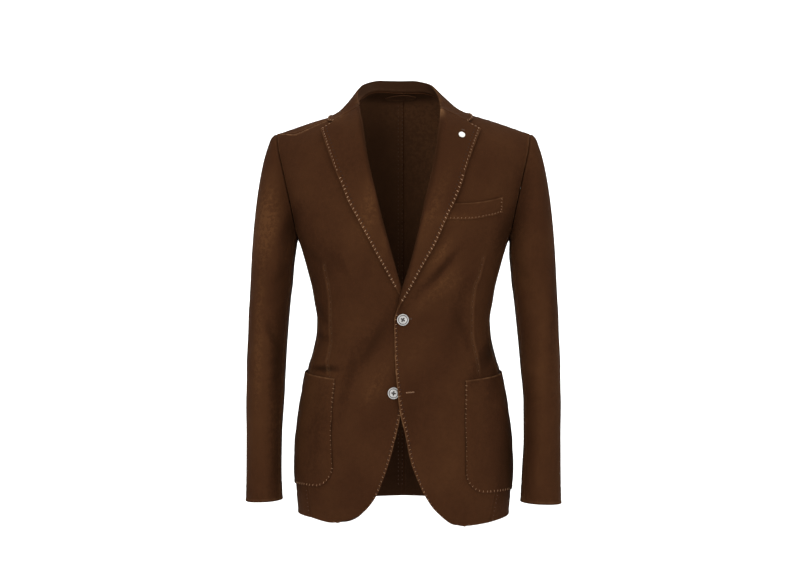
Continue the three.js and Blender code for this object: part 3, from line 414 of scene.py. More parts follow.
# Paler patches of the front-facing cloth (above 0), partly washed-out cotton and partly painted light on
# ridges and sleeve tops, and painted shade (under 0) in hollows, creases, shaded sides and along the lapels'
# roll lines: x, z, direction, half length, half width, strength.
FADES_AND_PAINTED_LIGHT = [
    (-240, -205, 84, 62, 17, 0.62), (-248, -330, 88, 90, 9, 0.34), (-250, -470, 90, 90, 9, 0.26),
    (-214, -300, 82, 70, 9, -0.3), (-214, -430, 84, 90, 10, -0.42), (-219, -590, 88, 90, 9, -0.38),
    (-197, -205, 66, 36, 12, -0.6), (-62, -170, 74, 70, 15, 0.42), (-38, -250, 70, 50, 10, 0.3),
    (-150, -300, 50, 44, 14, -0.22), (-120, -262, -46, 40, 9, -0.2), (-137, -452, 2, 20, 5, -0.75),
    (-46, -400, 52, 70, 15, -0.32), (-46, -470, 70, 60, 20, 0.16), (-150, -560, 84, 80, 14, -0.22),
    (66, -140, 70, 60, 13, 0.2), (44, -190, 66, 46, 12, 0.42), (94, -196, 4, 30, 9, 0.4),
    (60, -262, 52, 34, 10, 0.42), (52, -318, 46, 44, 9, 0.42), (84, -292, 44, 40, 8, 0.25),
    (56, -290, 48, 44, 7, -0.42), (92, -360, 76, 60, 12, -0.3), (140, -430, 62, 44, 9, -0.6),
    (158, -460, 80, 40, 9, -0.45), (176, -600, 84, 90, 12, -0.5), (26, -410, 60, 60, 24, 0.2),
    (176, -214, 70, 34, 11, -0.5), (206, -160, 80, 60, 12, -0.2), (238, -420, 88, 100, 10, 0.2),
    (236, -560, 88, 90, 9, 0.16), (264, -300, 86, 120, 8, -0.3), (12, -520, 80, 60, 14, -0.14),
    (-180, -150, 70, 60, 16, 0.1), (-100, -110, 80, 50, 30, -0.06), (118, -120, 70, 50, 24, 0.06),
    (-231, -194, 90, 55, 19, 0.45), (-50, -178, 78, 65, 12, 0.35), (-251, -430, 88, 90, 7, 0.3),
    (-131, -453, 0, 18, 4, -0.5), (-141, -356, -60, 26, 7, -0.4), (-142, -397, -30, 12, 5, -0.4),
    (-52, -408, 58, 42, 7, -0.3), (-94, -470, 76, 46, 8, -0.3), (-49, -480, 60, 50, 14, 0.3),
    (-228, -395, -70, 20, 6, -0.5), (-221, -445, 88, 50, 7, -0.5), (150, -430, 70, 34, 7, -0.6),
    (186, -620, 88, 60, 7, -0.6), (70, -245, 55, 30, 5, 0.35), (82, -310, 40, 44, 6, 0.35),
    (-66, -63, -80, 66, 4, -0.8), (-36.5, -195, -75.3, 74, 4, -0.8), (57.5, -72, 81.5, 50, 4, -0.7),
    (23, -222, 75.6, 108, 4, -0.8), (-140, -22, 15, 34, 7, 0.5), (-108, -14, 60, 14, 8, 0.5),
    (70, -275, 52, 30, 5, -0.4), (98, -380, -68, 36, 7, -0.3), (-153, -259, -45, 26, 8, -0.4),
]


# Washed-out patches with painted light and painted shade, summed from the table above, on front-facing cloth
# only.
def fading_and_painted_light(points):
    total = np.zeros(points.shape[:-1])
    front = ease(CREST_Y + 12, CREST_Y - 22, points[..., 1])
    for x, z, turn, long, wide, strength in FADES_AND_PAINTED_LIGHT:
        total += ridge(points[..., 0] - x, points[..., 2] - z, turn, long, wide, strength)
    return np.clip(total * front, -1, 1)


# Painted light inside: the upper back is painted lighter, as if lit from the neck, growing less lit
# downwards; the very top and the lowest part are painted darker.
def inner_painted_light(points):
    x = points[..., 0]
    z = points[..., 2]
    light = 0.75 * ease(-330, -70, z) * ease(-70, 60, x) + 0.3 * ease(-40, 0, z)
    return np.clip(light * ease(30, 10, z) - 0.75 * ease(12, 28, z) - 0.6 * ease(-420, -640, z), -1, 1)


# The indices of a grid's border, once round.
def border(index):
    return np.concatenate([index[0, :-1], index[:-1, -1], index[-1, :0:-1], index[:0:-1, 0]])


# A closed wall of cloth: its face, the same face moved inwards, and a rounded rim between them.
def cloth_wall(name, points, normals, wear, rims, materials, thick=CLOTH):
    rows, columns = points.shape[:2]
    count = rows * columns
    index = np.arange(count).reshape(rows, columns)
    away = np.zeros_like(points)
    for rim, flip, edge, beside in zip(rims, (False, False, True, True), (0, -1, 0, -1), (1, -2, 1, -2)):
        grid, out = (points.swapaxes(0, 1), away.swapaxes(0, 1)) if flip else (points, away)
        out[edge] += unit(grid[edge] - grid[beside]) * np.asarray(rim)[..., None]
    reach = Reach(points)
    cloth = np.stack([reach.across, reach.along, np.zeros_like(reach.along)], -1).reshape(-1, 3)
    outer = points.reshape(-1, 3)
    normal = normals.reshape(-1, 3)
    away = away.reshape(-1, 3)
    wear = wear.reshape(-1)
    loop = border(index)
    rings = [loop]
    layers = [outer, outer - normal * thick]
    wears = [wear, wear * 0.6]
    cloths = [cloth, cloth]
    start = 2 * count
    for turn in (45, 90, 135):
        sink = thick / 2 * (1 - math.cos(turn * DEG))
        layers.append(outer[loop] - normal[loop] * sink + away[loop] * math.sin(turn * DEG))
        wears.append(np.clip(wear[loop] * 1.1, 0, 1))
        cloths.append(cloth[loop])
        rings.append(start + np.arange(len(loop)))
        start += len(loop)
    rings.append(loop + count)
    a = index[:-1, :-1].ravel()
    quads = np.stack([a, a + 1, a + columns + 1, a + columns], 1)
    inner = quads[:, ::-1] + count
    rim = []
    for low, high in zip(rings, rings[1:]):
        rim.append(np.stack([low, high, np.roll(high, -1), np.roll(low, -1)], 1))
    faces = np.concatenate([quads, inner] + rim)
    first = outer[quads[:, 1]] - outer[quads[:, 0]]
    second = outer[quads[:, 3]] - outer[quads[:, 0]]
    if dot(np.cross(first, second), normal[quads[:, 0]]).sum() < 0:
        faces = faces[:, ::-1]
    indices = np.zeros(len(faces), int)
    if len(materials) > 1:
        indices[len(quads):2 * len(quads)] = 1
    everything = np.concatenate(layers)
    # Outer faces carry washed-out patches with painted light and painted shade; the inner face carries
    # painted light and shade alone.
    fades_and_painted_light = fading_and_painted_light(everything)
    fades_and_painted_light[count:2 * count] = inner_painted_light(everything[count:2 * count])
    attributes = {"wear": np.concatenate(wears), "cloth": np.concatenate(cloths), "fade_and_painted_light": fades_and_painted_light}
    return new_object(name, everything, faces, materials, indices, attributes)


# The folded-over end of a sheet: columns that turn round a tube and end facing the other way.
def with_fold(points, normals, wear, radius, count=9):
    tangent = unit(points[:, 0] - points[:, 1])
    normal = unit(normals[:, 0])
    tangent = unit(tangent - normal * dot(tangent, normal)[:, None])
    radius = np.broadcast_to(np.asarray(radius, float), (len(points),))[:, None]
    centre = points[:, 0] - normal * radius
    extra_points = []
    extra_normals = []
    for turn in np.linspace(math.pi, 0, count + 1)[:-1]:
        way = normal * math.cos(turn) + tangent * math.sin(turn)
        extra_points.append(centre + way * radius)
        extra_normals.append(way)
    side = np.sin(np.linspace(math.pi, 0, count + 1)[:-1])[None, :]
    extra_wear = wear[:, :1] + 0.06 * side
    points = np.concatenate([np.stack(extra_points, 1), points], 1)
    normals = np.concatenate([np.stack(extra_normals, 1), normals], 1)
    return points, normals, np.concatenate([extra_wear, wear], 1)


# A patch of torso places stretched between its four edges.
def patch_place(edges, u, v):
    bottom, top, left, right = (edges[key] for key in ("bottom", "top", "left", "right"))
    ends = np.array([0.0, 1.0])
    place = []
    for key in (0, 1):
        rows = mix(bottom(u)[key], top(u)[key], v)
        columns = mix(left(v)[key], right(v)[key], u)
        low = mix(*bottom(ends)[key], u)
        high = mix(*top(ends)[key], u)
        place.append(rows + columns - mix(low, high, v))
    return place


# Two stretches of one edge, of which the second begins where v passes a part.
def joined(v, part, low, high):
    return [np.where(v <= part, low[key], high[key]) for key in (0, 1)]


# Edges of the panels
SEAM_PART = 0.7
ROLL_PART = mix(SEAM_PART, 1, 6 / 7)
NECK_PART = 0.3
BACK_MIDDLE = 180 - 0.012
hem_lines = {LEFT: follow(HEM, "angle", "left"), RIGHT: follow(HEM, "angle", "right")}
HEM_SIDE = -706
front_seam = {name: follow(SIDE_SEAMS, "z", name) for name, _ in SIDES}
back_seam = follow(SIDE_SEAMS, "z", "back")
ARMHOLE_COUNT = len(ARMHOLE["angle"])


def armhole_rows():
    angle, down = torso_place_at(ARMHOLE["angle"], ARMHOLE["z"])
    down = down.copy()
    down[0] = 5 + GAP / 2
    down[-1] = GAP / 2 - 5
    return np.stack([angle, down], 1)


ARMHOLE_ROWS = armhole_rows()


# A curve through the armhole's rows, by share from the shoulder's front round to its back.
def armhole_place(sign, share):
    share = np.asarray(share, float)
    last = ARMHOLE_COUNT - 1
    at = share * last
    i = np.minimum(np.floor(at).astype(int), last)
    t = (at - i)[..., None]
    p0 = ARMHOLE_ROWS[np.maximum(i - 1, 0)]
    p1 = ARMHOLE_ROWS[i]
    p2 = ARMHOLE_ROWS[np.minimum(i + 1, last)]
    p3 = ARMHOLE_ROWS[np.minimum(i + 2, last)]
    v0 = (p2 - p0) / 2
    v1 = (p3 - p1) / 2
    point = (2 * p1 - 2 * p2 + v0 + v1) * t ** 3 + (-3 * p1 + 3 * p2 - 2 * v0 - v1) * t ** 2 + v0 * t + p1
    return sign * point[..., 0], point[..., 1]


def armhole_share(row):
    return row / (ARMHOLE_COUNT - 1)


def hem_place(sign, angle):
    return torso_place_at(sign * angle, hem_lines[sign](angle))


def seam_place(sign, seam, end_row, gap, v):
    low = hem_lines[sign](seam(HEM_SIDE))
    z = mix(low, ARMHOLE["z"][end_row], v)
    angle, down = torso_place_at(mix(seam(z), ARMHOLE["angle"][end_row], v ** 6), z)
    return sign * (angle + gap), down


def lateral_edge(sign, seam, seam_row, last_row, gap):
    def edge(v):
        v = np.asarray(v, float)
        low = seam_place(sign, seam, seam_row, gap, np.minimum(v / SEAM_PART, 1))
        t = np.clip((v - SEAM_PART) / (1 - SEAM_PART), 0, 1)
        angle, down = armhole_place(sign, mix(armhole_share(seam_row), armhole_share(last_row), t))
        return joined(v, SEAM_PART, low, (angle + sign * gap * (1 - t), down))
    return edge


def shoulder_place(name, sign, u, gap, behind):
    forward = follow(SHOULDER_SEAM[name], "share", "forward")(u) + gap
    angle = mix(NECK_ANGLE[name], ARMHOLE["angle"][0], u)
    if behind:
        return sign * (180 - angle), -forward
    return sign * angle, forward


def roll_top_place(name, sign):
    z = ROLL_TOP[name]
    return torso_place(sign * follow(FRONT_EDGE[name], "z", "x")(z), z)


def front_edges(name, sign):
    edge_x = follow(FRONT_EDGE[name], "z", "x")
    low_z = FRONT_EDGE[name]["z"][0]
    low_x = FRONT_EDGE[name]["x"][0]
    corner = torso_place(sign * low_x, low_z)
    neck = shoulder_place(name, sign, 0.0, GAP / 2, False)
    lateral = lateral_edge(sign, front_seam[name], ARMHOLE_FRONT_SEAM, 0, -SEAM_ANGLE)
    roll_top = roll_top_place(name, sign)

    def bottom(u):
        angle = mix(np.abs(corner[0]), np.abs(lateral(np.zeros(1))[0]), u)
        z = mix(low_z, hem_lines[sign](angle), np.minimum(1, u * 3))
        return torso_place_at(sign * angle, z)

    def left(v):
        z = mix(low_z, ROLL_TOP[name], np.minimum(v / ROLL_PART, 1) ** 1.3)
        low = torso_place(sign * edge_x(z), z)
        t = np.clip((v - ROLL_PART) / (1 - ROLL_PART), 0, 1)
        return joined(v, ROLL_PART, low, [mix(roll_top[key], neck[key], t) for key in (0, 1)])

    return {
        "bottom": bottom,
        "top": lambda u: shoulder_place(name, sign, u, GAP / 2, False),
        "left": left,
        "right": lateral,
    }


nape = torso_place(0, NAPE_Z, True)


def neckline_place(name, sign, t, gap=0):
    end = shoulder_place(name, sign, 0.0, -GAP / 2, True)
    down = mix(end[1], nape[1], np.abs(np.cos(t * math.pi / 2)) ** 1.6) - gap
    turn = (180 - np.abs(end[0])) * np.sin(t * math.pi / 2) ** (SQUARENESS / 2)
    return sign * np.minimum(BACK_MIDDLE, 180 - turn), down


# Materials
def linear(colour):
    shares = [value / 255 for value in colour]
    return (*(s / 12.92 if s <= 0.04045 else ((s + 0.055) / 1.055) ** 2.4 for s in shares), 1)


# A node with its settings, and its inputs given as values or as the outputs of other nodes.
def node(tree, kind, inputs=None, **settings):
    made = tree.nodes.new(kind)
    for key, value in settings.items():
        setattr(made, key, value)
    for key, value in (inputs or {}).items():
        if isinstance(value, (int, float, tuple)):
            made.inputs[key].default_value = value
        else:
            tree.links.new(value, made.inputs[key])
    return made


def maths(tree, operation, a, b, clamp=False):
    return node(tree, "ShaderNodeMath", {0: a, 1: b}, operation=operation, use_clamp=clamp).outputs[0]


def blend_colour(tree, kind, factor, a, b):
    inputs = {0: factor, 6: a, 7: b}
    return node(tree, "ShaderNodeMix", inputs, data_type="RGBA", blend_type=kind).outputs[2]


def bump(tree, height, strength, distance, **below):
    inputs = {"Height": height, "Strength": strength, "Distance": distance, **below}
    return node(tree, "ShaderNodeBump", inputs).outputs[0]


def principled(name, inputs):
    material = bpy.data.materials.new(name)
    material.use_nodes = True
    shader = material.node_tree.nodes["Principled BSDF"]
    for key, value in inputs.items():
        shader.inputs[key].default_value = value
    return material, material.node_tree, shader


# Washed cotton: a fine twill, cloudy washed-out patches, paler cloth along worn edges and seams, and painted
# light and shade: paler where washed out or lit, darker where shaded.
def cotton(name, base, faded_and_lit, worn, dark):
    material, tree, shader = principled(name, {
        "Roughness": 0.9, "Specular IOR Level": 0.02,
        "Sheen Weight": 0.012, "Sheen Roughness": 0.5, "Sheen Tint": linear((190, 150, 118)),
    })
    where = node(tree, "ShaderNodeTexCoord").outputs["Object"]

    def measured(key, output="Fac"):
        return node(tree, "ShaderNodeAttribute", attribute_name=key).outputs[output]

    def noise(scale, detail, roughness):
        inputs = {"Vector": where, "Scale": scale, "Detail": detail, "Roughness": roughness}
        return node(tree, "ShaderNodeTexNoise", inputs).outputs["Fac"]

    def ramp(value, ends, keys=("From Min", "From Max")):
        inputs = {"Value": value, keys[0]: ends[0], keys[1]: ends[1]}
        return node(tree, "ShaderNodeMapRange", inputs).outputs[0]

    def scaled(value, factor, more=0.0):
        return maths(tree, "ADD", maths(tree, "MULTIPLY", value, factor), more)

    def bands(turn, period):
        inputs = {"Vector": cloth, "Rotation": (0, 0, turn * DEG)}
        inputs = {"Vector": node(tree, "ShaderNodeMapping", inputs).outputs[0], "Distortion": 1.2,
                  "Scale": 2 * math.pi / (20 * period), "Detail": 1, "Detail Scale": 0.6}
        return node(tree, "ShaderNodeTexWave", inputs).outputs["Fac"]

    wear = measured("wear")
    fade_and_painted_light = measured("fade_and_painted_light")
    cloth = measured("cloth", "Vector")
    fleck = ramp(noise(150, 5, 0.75), (0.44, 0.66))
    # pale: washed-out cloth and painted light, broken up by flecks; deep: painted shade where the attribute
    # is below 0.
    mottled = maths(tree, "MULTIPLY", fade_and_painted_light, scaled(fleck, 1.5, 0.2))
    cloud = maths(tree, "MULTIPLY", ramp(noise(7, 4, 0.6), (0.38, 0.68)), 0.3)
    pale = maths(tree, "ADD", cloud, mottled, clamp=True)
    deep = maths(tree, "MULTIPLY", fade_and_painted_light, -1.0, clamp=True)
    patchy = scaled(ramp(noise(60, 4, 0.65), (0.3, 0.62)), 0.7, 0.3)
    rubbed = maths(tree, "MULTIPLY", wear, patchy, clamp=True)
    weave = scaled(bands(52, 1.15), 0.7, maths(tree, "MULTIPLY", bands(-38, 0.8), 0.3))
    colour = blend_colour(tree, "MIX", pale, linear(base), linear(faded_and_lit))
    colour = blend_colour(tree, "MIX", maths(tree, "MULTIPLY", fleck, 0.18), colour, linear(dark))
    # painted shade: darkened toward the dark colour in shaded hollows, creases and sides.
    colour = blend_colour(tree, "MIX", deep, colour, linear(dark))
    colour = blend_colour(tree, "MIX", rubbed, colour, linear(worn))
    tint = ramp(weave, (0.62, 1.25), ("To Min", "To Max"))
    tree.links.new(blend_colour(tree, "MULTIPLY", 0.22, colour, tint), shader.inputs["Base Color"])
    fine = bump(tree, weave, 0.22, 0.0003)
    nap = bump(tree, noise(420, 4, 0.7), 0.35, 0.0006, Normal=fine)
    crumple = bump(tree, noise(34, 4, 0.55), 0.42, 0.003, Normal=nap)
    tree.links.new(crumple, shader.inputs["Normal"])
    return material


CLOTH_OUT = cotton("washed_cotton", (54, 31, 17), (80, 51, 29), (128, 92, 62), (36, 20, 9))
# The cloth's inner face: the same cotton painted lighter than the outer face, as painted light for the dim
# inside; its paler colour is the painted light of the upper back.
CLOTH_IN = cotton("cotton_inside", (64, 41, 26), (84, 55, 35), (96, 68, 44), (36, 21, 11))
BOTH = (CLOTH_OUT, CLOTH_IN)


# A plain material with a little unevenness in its colour and surface.
def plain(name, colour, other, roughness, scale, rough, coat=0.0):
    material, tree, shader = principled(name, {
        "Roughness": roughness, "Coat Weight": coat, "Coat Roughness": 0.12,
    })
    where = node(tree, "ShaderNodeTexCoord").outputs["Object"]
    noise = node(tree, "ShaderNodeTexNoise", {"Vector": where, "Scale": scale, "Detail": 4}).outputs["Fac"]
    mixed = blend_colour(tree, "MIX", noise, linear(colour), linear(other))
    tree.links.new(mixed, shader.inputs["Base Color"])
    tree.links.new(bump(tree, noise, rough, 0.0004), shader.inputs["Normal"])
    return material


THREAD = plain("tan_thread", (188, 148, 116), (158, 120, 88), 0.75, 900, 0.4)
THREAD_WORN = plain("worn_thread", (160, 121, 88), (128, 92, 64), 0.78, 900, 0.4)
THREAD_DARK = plain("brown_thread", (92, 62, 42), (70, 46, 30), 0.8, 900, 0.4)
# A very dark brown for the buttons' thread and for the painted shadows in the pinches along the edges.
THREAD_AND_PINCH_SHADOW = plain("dark_thread_and_pinch_shadow", (34, 20, 11), (26, 15, 8), 0.9, 900, 0.4)
SLIT = plain("slit_shadow", (20, 12, 8), (14, 9, 6), 0.95, 300, 0.2)
PEARL = plain("pearl_grey", (196, 194, 190), (128, 124, 122), 0.24, 140, 0.1, 0.6)
PEARL_DARK = plain("pearl_ring", (52, 48, 47), (34, 31, 30), 0.4, 200, 0.1)
STUD_WHITE = plain("stud_white", (240, 236, 226), (222, 217, 205), 0.28, 60, 0.05, 0.4)


# Stitches
STITCH_LIFT = 0.15
STITCH_SIDES = 6
STITCH_STOPS = np.array([0, 0.12, 0.35, 0.65, 0.88, 1])
STITCH_FAT = np.array([0.35, 0.85, 1, 1, 0.85, 0.35])
STITCH_HIGH = np.array([-0.6, -0.05, 0.35, 0.35, -0.05, -0.6])


# The faces of one stitch: its rings of sides, and a cap at both ends.
def stitch_faces():
    faces = []
    for ring in range(len(STITCH_STOPS) - 1):
        for k in range(STITCH_SIDES):
            a = ring * STITCH_SIDES + k
            b = ring * STITCH_SIDES + (k + 1) % STITCH_SIDES
            faces.append((a, b, b + STITCH_SIDES, a + STITCH_SIDES))
    last = (len(STITCH_STOPS) - 1) * STITCH_SIDES
    return faces + [range(STITCH_SIDES - 1, -1, -1), range(last, last + STITCH_SIDES)]


# One mesh of many stitches: each a short round thread, sunk into the cloth at both ends.
def stitches(name, lines, material, radius):
    turns = np.arange(STITCH_SIDES)[:, None] * 2 * math.pi / STITCH_SIDES
    points = []
    for place, way, out, length in lines:
        way, out = way[:, None], out[:, None]
        spokes = np.cross(out, way) * np.cos(turns) + out * np.sin(turns)
        centres = place[:, None] + way * (STITCH_STOPS - 0.5)[:, None] * length
        centres = centres + out * STITCH_HIGH[:, None] * radius * 1.3
        points.append(centres[:, :, None] + spokes[:, None] * radius * STITCH_FAT[:, None, None])
    points = np.concatenate([rings.reshape(-1, 3) for rings in points])
    starts = range(0, len(points), len(STITCH_STOPS) * STITCH_SIDES)
    faces = [[start + k for k in face] for start in starts for face in stitch_faces()]
    obj = new_object(name, points, faces, [material])
    bpy.context.view_layer.update()
    return attach(obj)


# Ticks spaced along a line of points, leaning by some degrees from the line's own direction.
def ticks(points, normals, pitch, lean, length, seed, start=0.0, lift=STITCH_LIFT):
    total = run_of(points)
    at = np.arange(start + pitch / 2, total[-1], pitch)
    at = at + np.random.default_rng(seed).uniform(-0.09, 0.09, len(at)) * pitch

    def along(values, places):
        return np.stack([np.interp(places, total, values[:, k]) for k in range(3)], 1)

    out = unit(along(normals, at))
    on = unit(along(points, at + 0.8) - along(points, at - 0.8))
    on = unit(on - out * dot(on, out)[:, None])
    way = on * math.cos(lean * DEG) + np.cross(out, on) * math.sin(lean * DEG)
    return along(points, at) + out * lift, way, out, length


# Pieces of the garment
def attach(obj, node_name=None):
    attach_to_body(obj, "root")
    if node_name:
        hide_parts(node_name)
    return obj


# Every cloth piece keeps its grid here, for the stitches along it.
grids = {}


def put(name, points, normals, wear, rims, node_name=None, materials=BOTH,
        thick=CLOTH):
    obj = cloth_wall(name, points, normals, np.clip(wear, 0, 1), rims, materials, thick)
    attach(obj, node_name or name.removeprefix("cloth_"))
    grids[name] = (points, normals)


# The darts of the fronts, through places given by x and z
DARTS = {
    "left": [(139, -253), (135, -272), (129, -295), (123, -309), (119, -334), (117.6, -354), (117.6, -390),
             (119, -406), (123.5, -423), (128, -445), (129, -466)],
    "right": [(-137, -264), (-136, -280), (-130, -308), (-126.5, -334), (-126.5, -374), (-125, -405),
              (-129, -429), (-132, -440), (-127, -467)],
}


# Distance of points from a line in the x-z plane, and how far along it the nearest place is.
def line_distance(points, line):
    line = np.array(line, float)
    best = np.full(points.shape[:-1], 1e9)
    along = np.zeros(points.shape[:-1])
    run = 0.0
    flat = points[..., [0, 2]]
    for a, b in zip(line, line[1:]):
        way = b - a
        length = np.hypot(*way)
        t = np.clip(((flat - a) @ way) / length ** 2, 0, 1)
        away = np.linalg.norm(flat - a - t[..., None] * way, axis=-1)
        nearer = away < best
        best = np.where(nearer, away, best)
        along = np.where(nearer, run + t * length, along)
        run += length
    return best, along


def dart_relief(name, points):
    distance, along = line_distance(points, DARTS[name])
    front = points[..., 1] < CREST_Y
    ends = ease(0, 14, along) * ease(0, 10, np.max(along) - along)
    relief = (-0.7 * hump(distance, 0, 1.7) + 0.35 * hump(distance, 4, 2.6)) * (0.35 + 0.65 * ends)
    ripple = 0.22 * waver(along, 15, 11) * np.exp(-distance / 8)
    return (relief + ripple) * front, 0.35 * hump(distance, 1.8, 1.3) * front * ends


# Fronts, sides and back
SHOULDER_WEAR = {"left": 1.2, "right": 3.8}


def front_panel(name, sign):
    edges = front_edges(name, sign)
    u, v = np.meshgrid(stations(265), stations(760))
    place = patch_place(edges, u, v)
    base = torso_point(*place)
    points, normals = torso_skin(place, front_lift(sign, base))
    reach = Reach(points)
    z = points[..., 2]
    free = ease(ROLL_FOOT[name] + 14, ROLL_FOOT[name] - 14, z)
    shoulder = seam_relief(reach.top, reach.across, 3 + sign, 0.9, 0.5, 0.5)
    relief = seam_relief(reach.right, reach.along, 5 + sign, 0.55) + shoulder
    relief += free * edge_relief(reach.left, reach.along, 7 + sign)
    relief += hem_relief(reach.bottom, reach.across, 9 + sign) * ease(0, 60, reach.left)
    darted, dart_wear = dart_relief(name, points)
    relief += darted
    points, normals = raised(points, normals, relief)
    worn = ease(-620, -540, z) * 2.5 + 0.7
    wear = worn * free * edge_wear(reach.left, reach.along, 13, 1.1)
    wear = wear + edge_wear(reach.bottom, reach.across, 15)
    wear = wear + seam_wear(reach.right, reach.along, 17) * ease(-705, -600, z) + 0.4 * dart_wear
    wear = wear + SHOULDER_WEAR[name] * seam_wear(reach.top, reach.across, 19)
    put(f"cloth_front_{name}", points, normals, wear, (0.8, 0.3, 0.15 + 0.65 * free[:, 0], 0.4))


def hem_relief(distance, along, seed, deep=34):
    fold = 0.35 * hump(distance, 1.6, 2.2) - 0.2 * hump(distance, 6.5, 3)
    step = -0.4 * hump(distance, deep, 2.6) + 0.3 * hump(distance, deep - 5, 3.5)
    ripple = 0.3 * waver(along, 46, seed + 1) * np.exp(-distance / 16)
    return fold + step * (0.7 + 0.3 * waver(along, 40, seed)) + ripple


def side_panel(name, sign):
    low_share = armhole_share(ARMHOLE_FRONT_SEAM)
    high_share = armhole_share(ARMHOLE_BACK_SEAM)

    def left(v):
        return seam_place(sign, front_seam[name], ARMHOLE_FRONT_SEAM, SEAM_ANGLE, v)

    def right(v):
        return seam_place(sign, back_seam, ARMHOLE_BACK_SEAM, -SEAM_ANGLE, v)

    def top(u):
        angle, down = armhole_place(sign, mix(low_share, high_share, u))
        return angle + sign * mix(SEAM_ANGLE, -SEAM_ANGLE, u), down

    start = left(np.zeros(1))[0]
    finish = right(np.zeros(1))[0]
    edges = {"left": left, "right": right, "top": top,
             "bottom": lambda u: hem_place(sign, np.abs(mix(start, finish, u)))}
    u, v = np.meshgrid(stations(190), stations(490))
    points, normals = torso_skin(patch_place(edges, u, v))
    reach = Reach(points)
    relief = seam_relief(reach.left, reach.along, 5 + sign) + seam_relief(reach.right, reach.along, 23)
    relief += seam_relief(reach.top, reach.across, 25) + hem_relief(reach.bottom, reach.across, 27)
    points, normals = raised(points, normals, relief)
    wear = seam_wear(reach.left, reach.along, 29) + seam_wear(reach.right, reach.along, 31)
    wear = wear * ease(20, 120, reach.bottom) + edge_wear(reach.bottom, reach.across, 33)
    wear = wear + seam_wear(reach.top, reach.across, 35)
    put(f"cloth_side_{name}", points, normals, wear, (0.8, 0.3, 0.4, 0.4))


def back_panel(name, sign):
    lateral = lateral_edge(sign, back_seam, ARMHOLE_BACK_SEAM, ARMHOLE_COUNT - 1, SEAM_ANGLE)
    hem = hem_place(1, BACK_MIDDLE)

    def top(u):
        neck = neckline_place(name, sign, np.minimum(u / NECK_PART, 1))
        over = shoulder_place(name, sign, np.clip((u - NECK_PART) / (1 - NECK_PART), 0, 1), -GAP / 2, True)
        return joined(u, NECK_PART, neck, over)

    corner = np.abs(lateral(np.zeros(1))[0])
    edges = {
        "left": lambda v: (sign * BACK_MIDDLE + 0 * v, mix(hem[1], nape[1], v)),
        "right": lateral,
        "bottom": lambda u: hem_place(sign, mix(BACK_MIDDLE, corner, u)),
        "top": top,
    }
    u, v = np.meshgrid(stations(230), stations(790))
    points, normals = torso_skin(patch_place(edges, u, v))
    reach = Reach(points)
    relief = seam_relief(reach.left, reach.along, 41) + seam_relief(reach.right, reach.along, 43)
    relief += seam_relief(reach.top, reach.across, 45, 0.8, 0.4, 0.3)
    relief += hem_relief(reach.bottom, reach.across, 47)
    points, normals = raised(points, normals, relief)
    wear = seam_wear(reach.left, reach.along, 49) + seam_wear(reach.right, reach.along, 51)
    wear = wear + edge_wear(reach.bottom, reach.across, 53) + 0.7 * seam_wear(reach.top, reach.across, 55)
    put(f"cloth_back_{name}", points, normals, wear, (0.8, 0.3, 0.8, 0.4))


# Lapels
LAPEL_RISE = 4.6
LAPEL_CLEAR = 1.2


def lapel_place(name, sign, u, v):
    roll_x = follow(FRONT_EDGE[name], "z", "x")
    edge_x = follow(LAPEL_EDGE[name], "z", "x")
    roll_z = mix(ROLL_FOOT[name], ROLL_TOP[name], v)
    low = max(LAPEL_EDGE[name]["z"][0], ROLL_FOOT[name] - 2)
    edge_z = mix(low, LAPEL_EDGE[name]["z"][-1], v)
    x = mix(roll_x(roll_z), edge_x(edge_z), u)
    return torso_place(sign * x, mix(roll_z, edge_z, u))


def lapel_skin(name, sign, u, v):
    place = lapel_place(name, sign, u, v)
    open_share = mix(0.35, 1, ease(0, 0.25, v)) * mix(1, 0.62, ease(0.5, 1, v))
    base = front_lift(sign, torso_point(*place))
    return torso_skin(place, base + CLOTH + LAPEL_CLEAR + LAPEL_RISE * open_share * (1 - (1 - u) ** 3))


def lapel(name, sign):
    u, v = np.meshgrid(stations(82, 2.6), stations(372, 3.0))
    points, normals = lapel_skin(name, sign, u, v)
    reach = Reach(points)
    narrow = ease(4, 14, reach.across[:, -1:] - reach.across[:, :1])
    relief = edge_relief(reach.right, reach.along, 61 + sign, 7.2) * narrow
    gorge = u < NOTCH_SHARE
    relief += np.where(gorge, seam_relief(reach.top, reach.across, 63, 0.7, 0.3, 0.2),
                       edge_relief(reach.top, reach.across, 64)) * narrow
    relief += 0.35 * waver(reach.along + 0.5 * reach.across, 62, 65 + sign) * ease(0, 20, reach.left) * narrow
    points, normals = raised(points, normals, relief)
    wear = edge_wear(reach.top, reach.across, 68) * (u > NOTCH_SHARE)
    wear = wear + edge_wear(reach.right, reach.along, 67)
    if sign == LEFT:
        wear = wear + 0.6 * hump(reach.left, 0, 5) * ease(0.93, 1, v)
    grids[f"lapel_face_{name}"] = (points, normals)
    points, normals, wear = with_fold(points, normals, wear, mix(1.5, 2.2, ease(0, 0.1, v[:, 0])))
    rims = (0.3, 0.35, 0.0, 0.8)
    put(f"cloth_lapel_{name}", points, normals, wear, rims, materials=(CLOTH_OUT,))


# Collar
COLLAR_Y = 6
GORGE_GAP = 1.1
LEAF_CLEAR = 1.2
LAST_STATION = 6 / 7


collar_rows = {**COLLAR, "at": np.arange(7) / 7}
collar_track = {key: follow(collar_rows, "at", key) for key in COLLAR}


def gorge_point(name, sign, v):
    point, normal = lapel_skin(name, sign, v * NOTCH_SHARE, np.ones_like(v))
    beyond = lapel_skin(name, sign, v * NOTCH_SHARE, np.full_like(v, 0.97))[0]
    return point + unit(point - beyond) * GORGE_GAP, normal


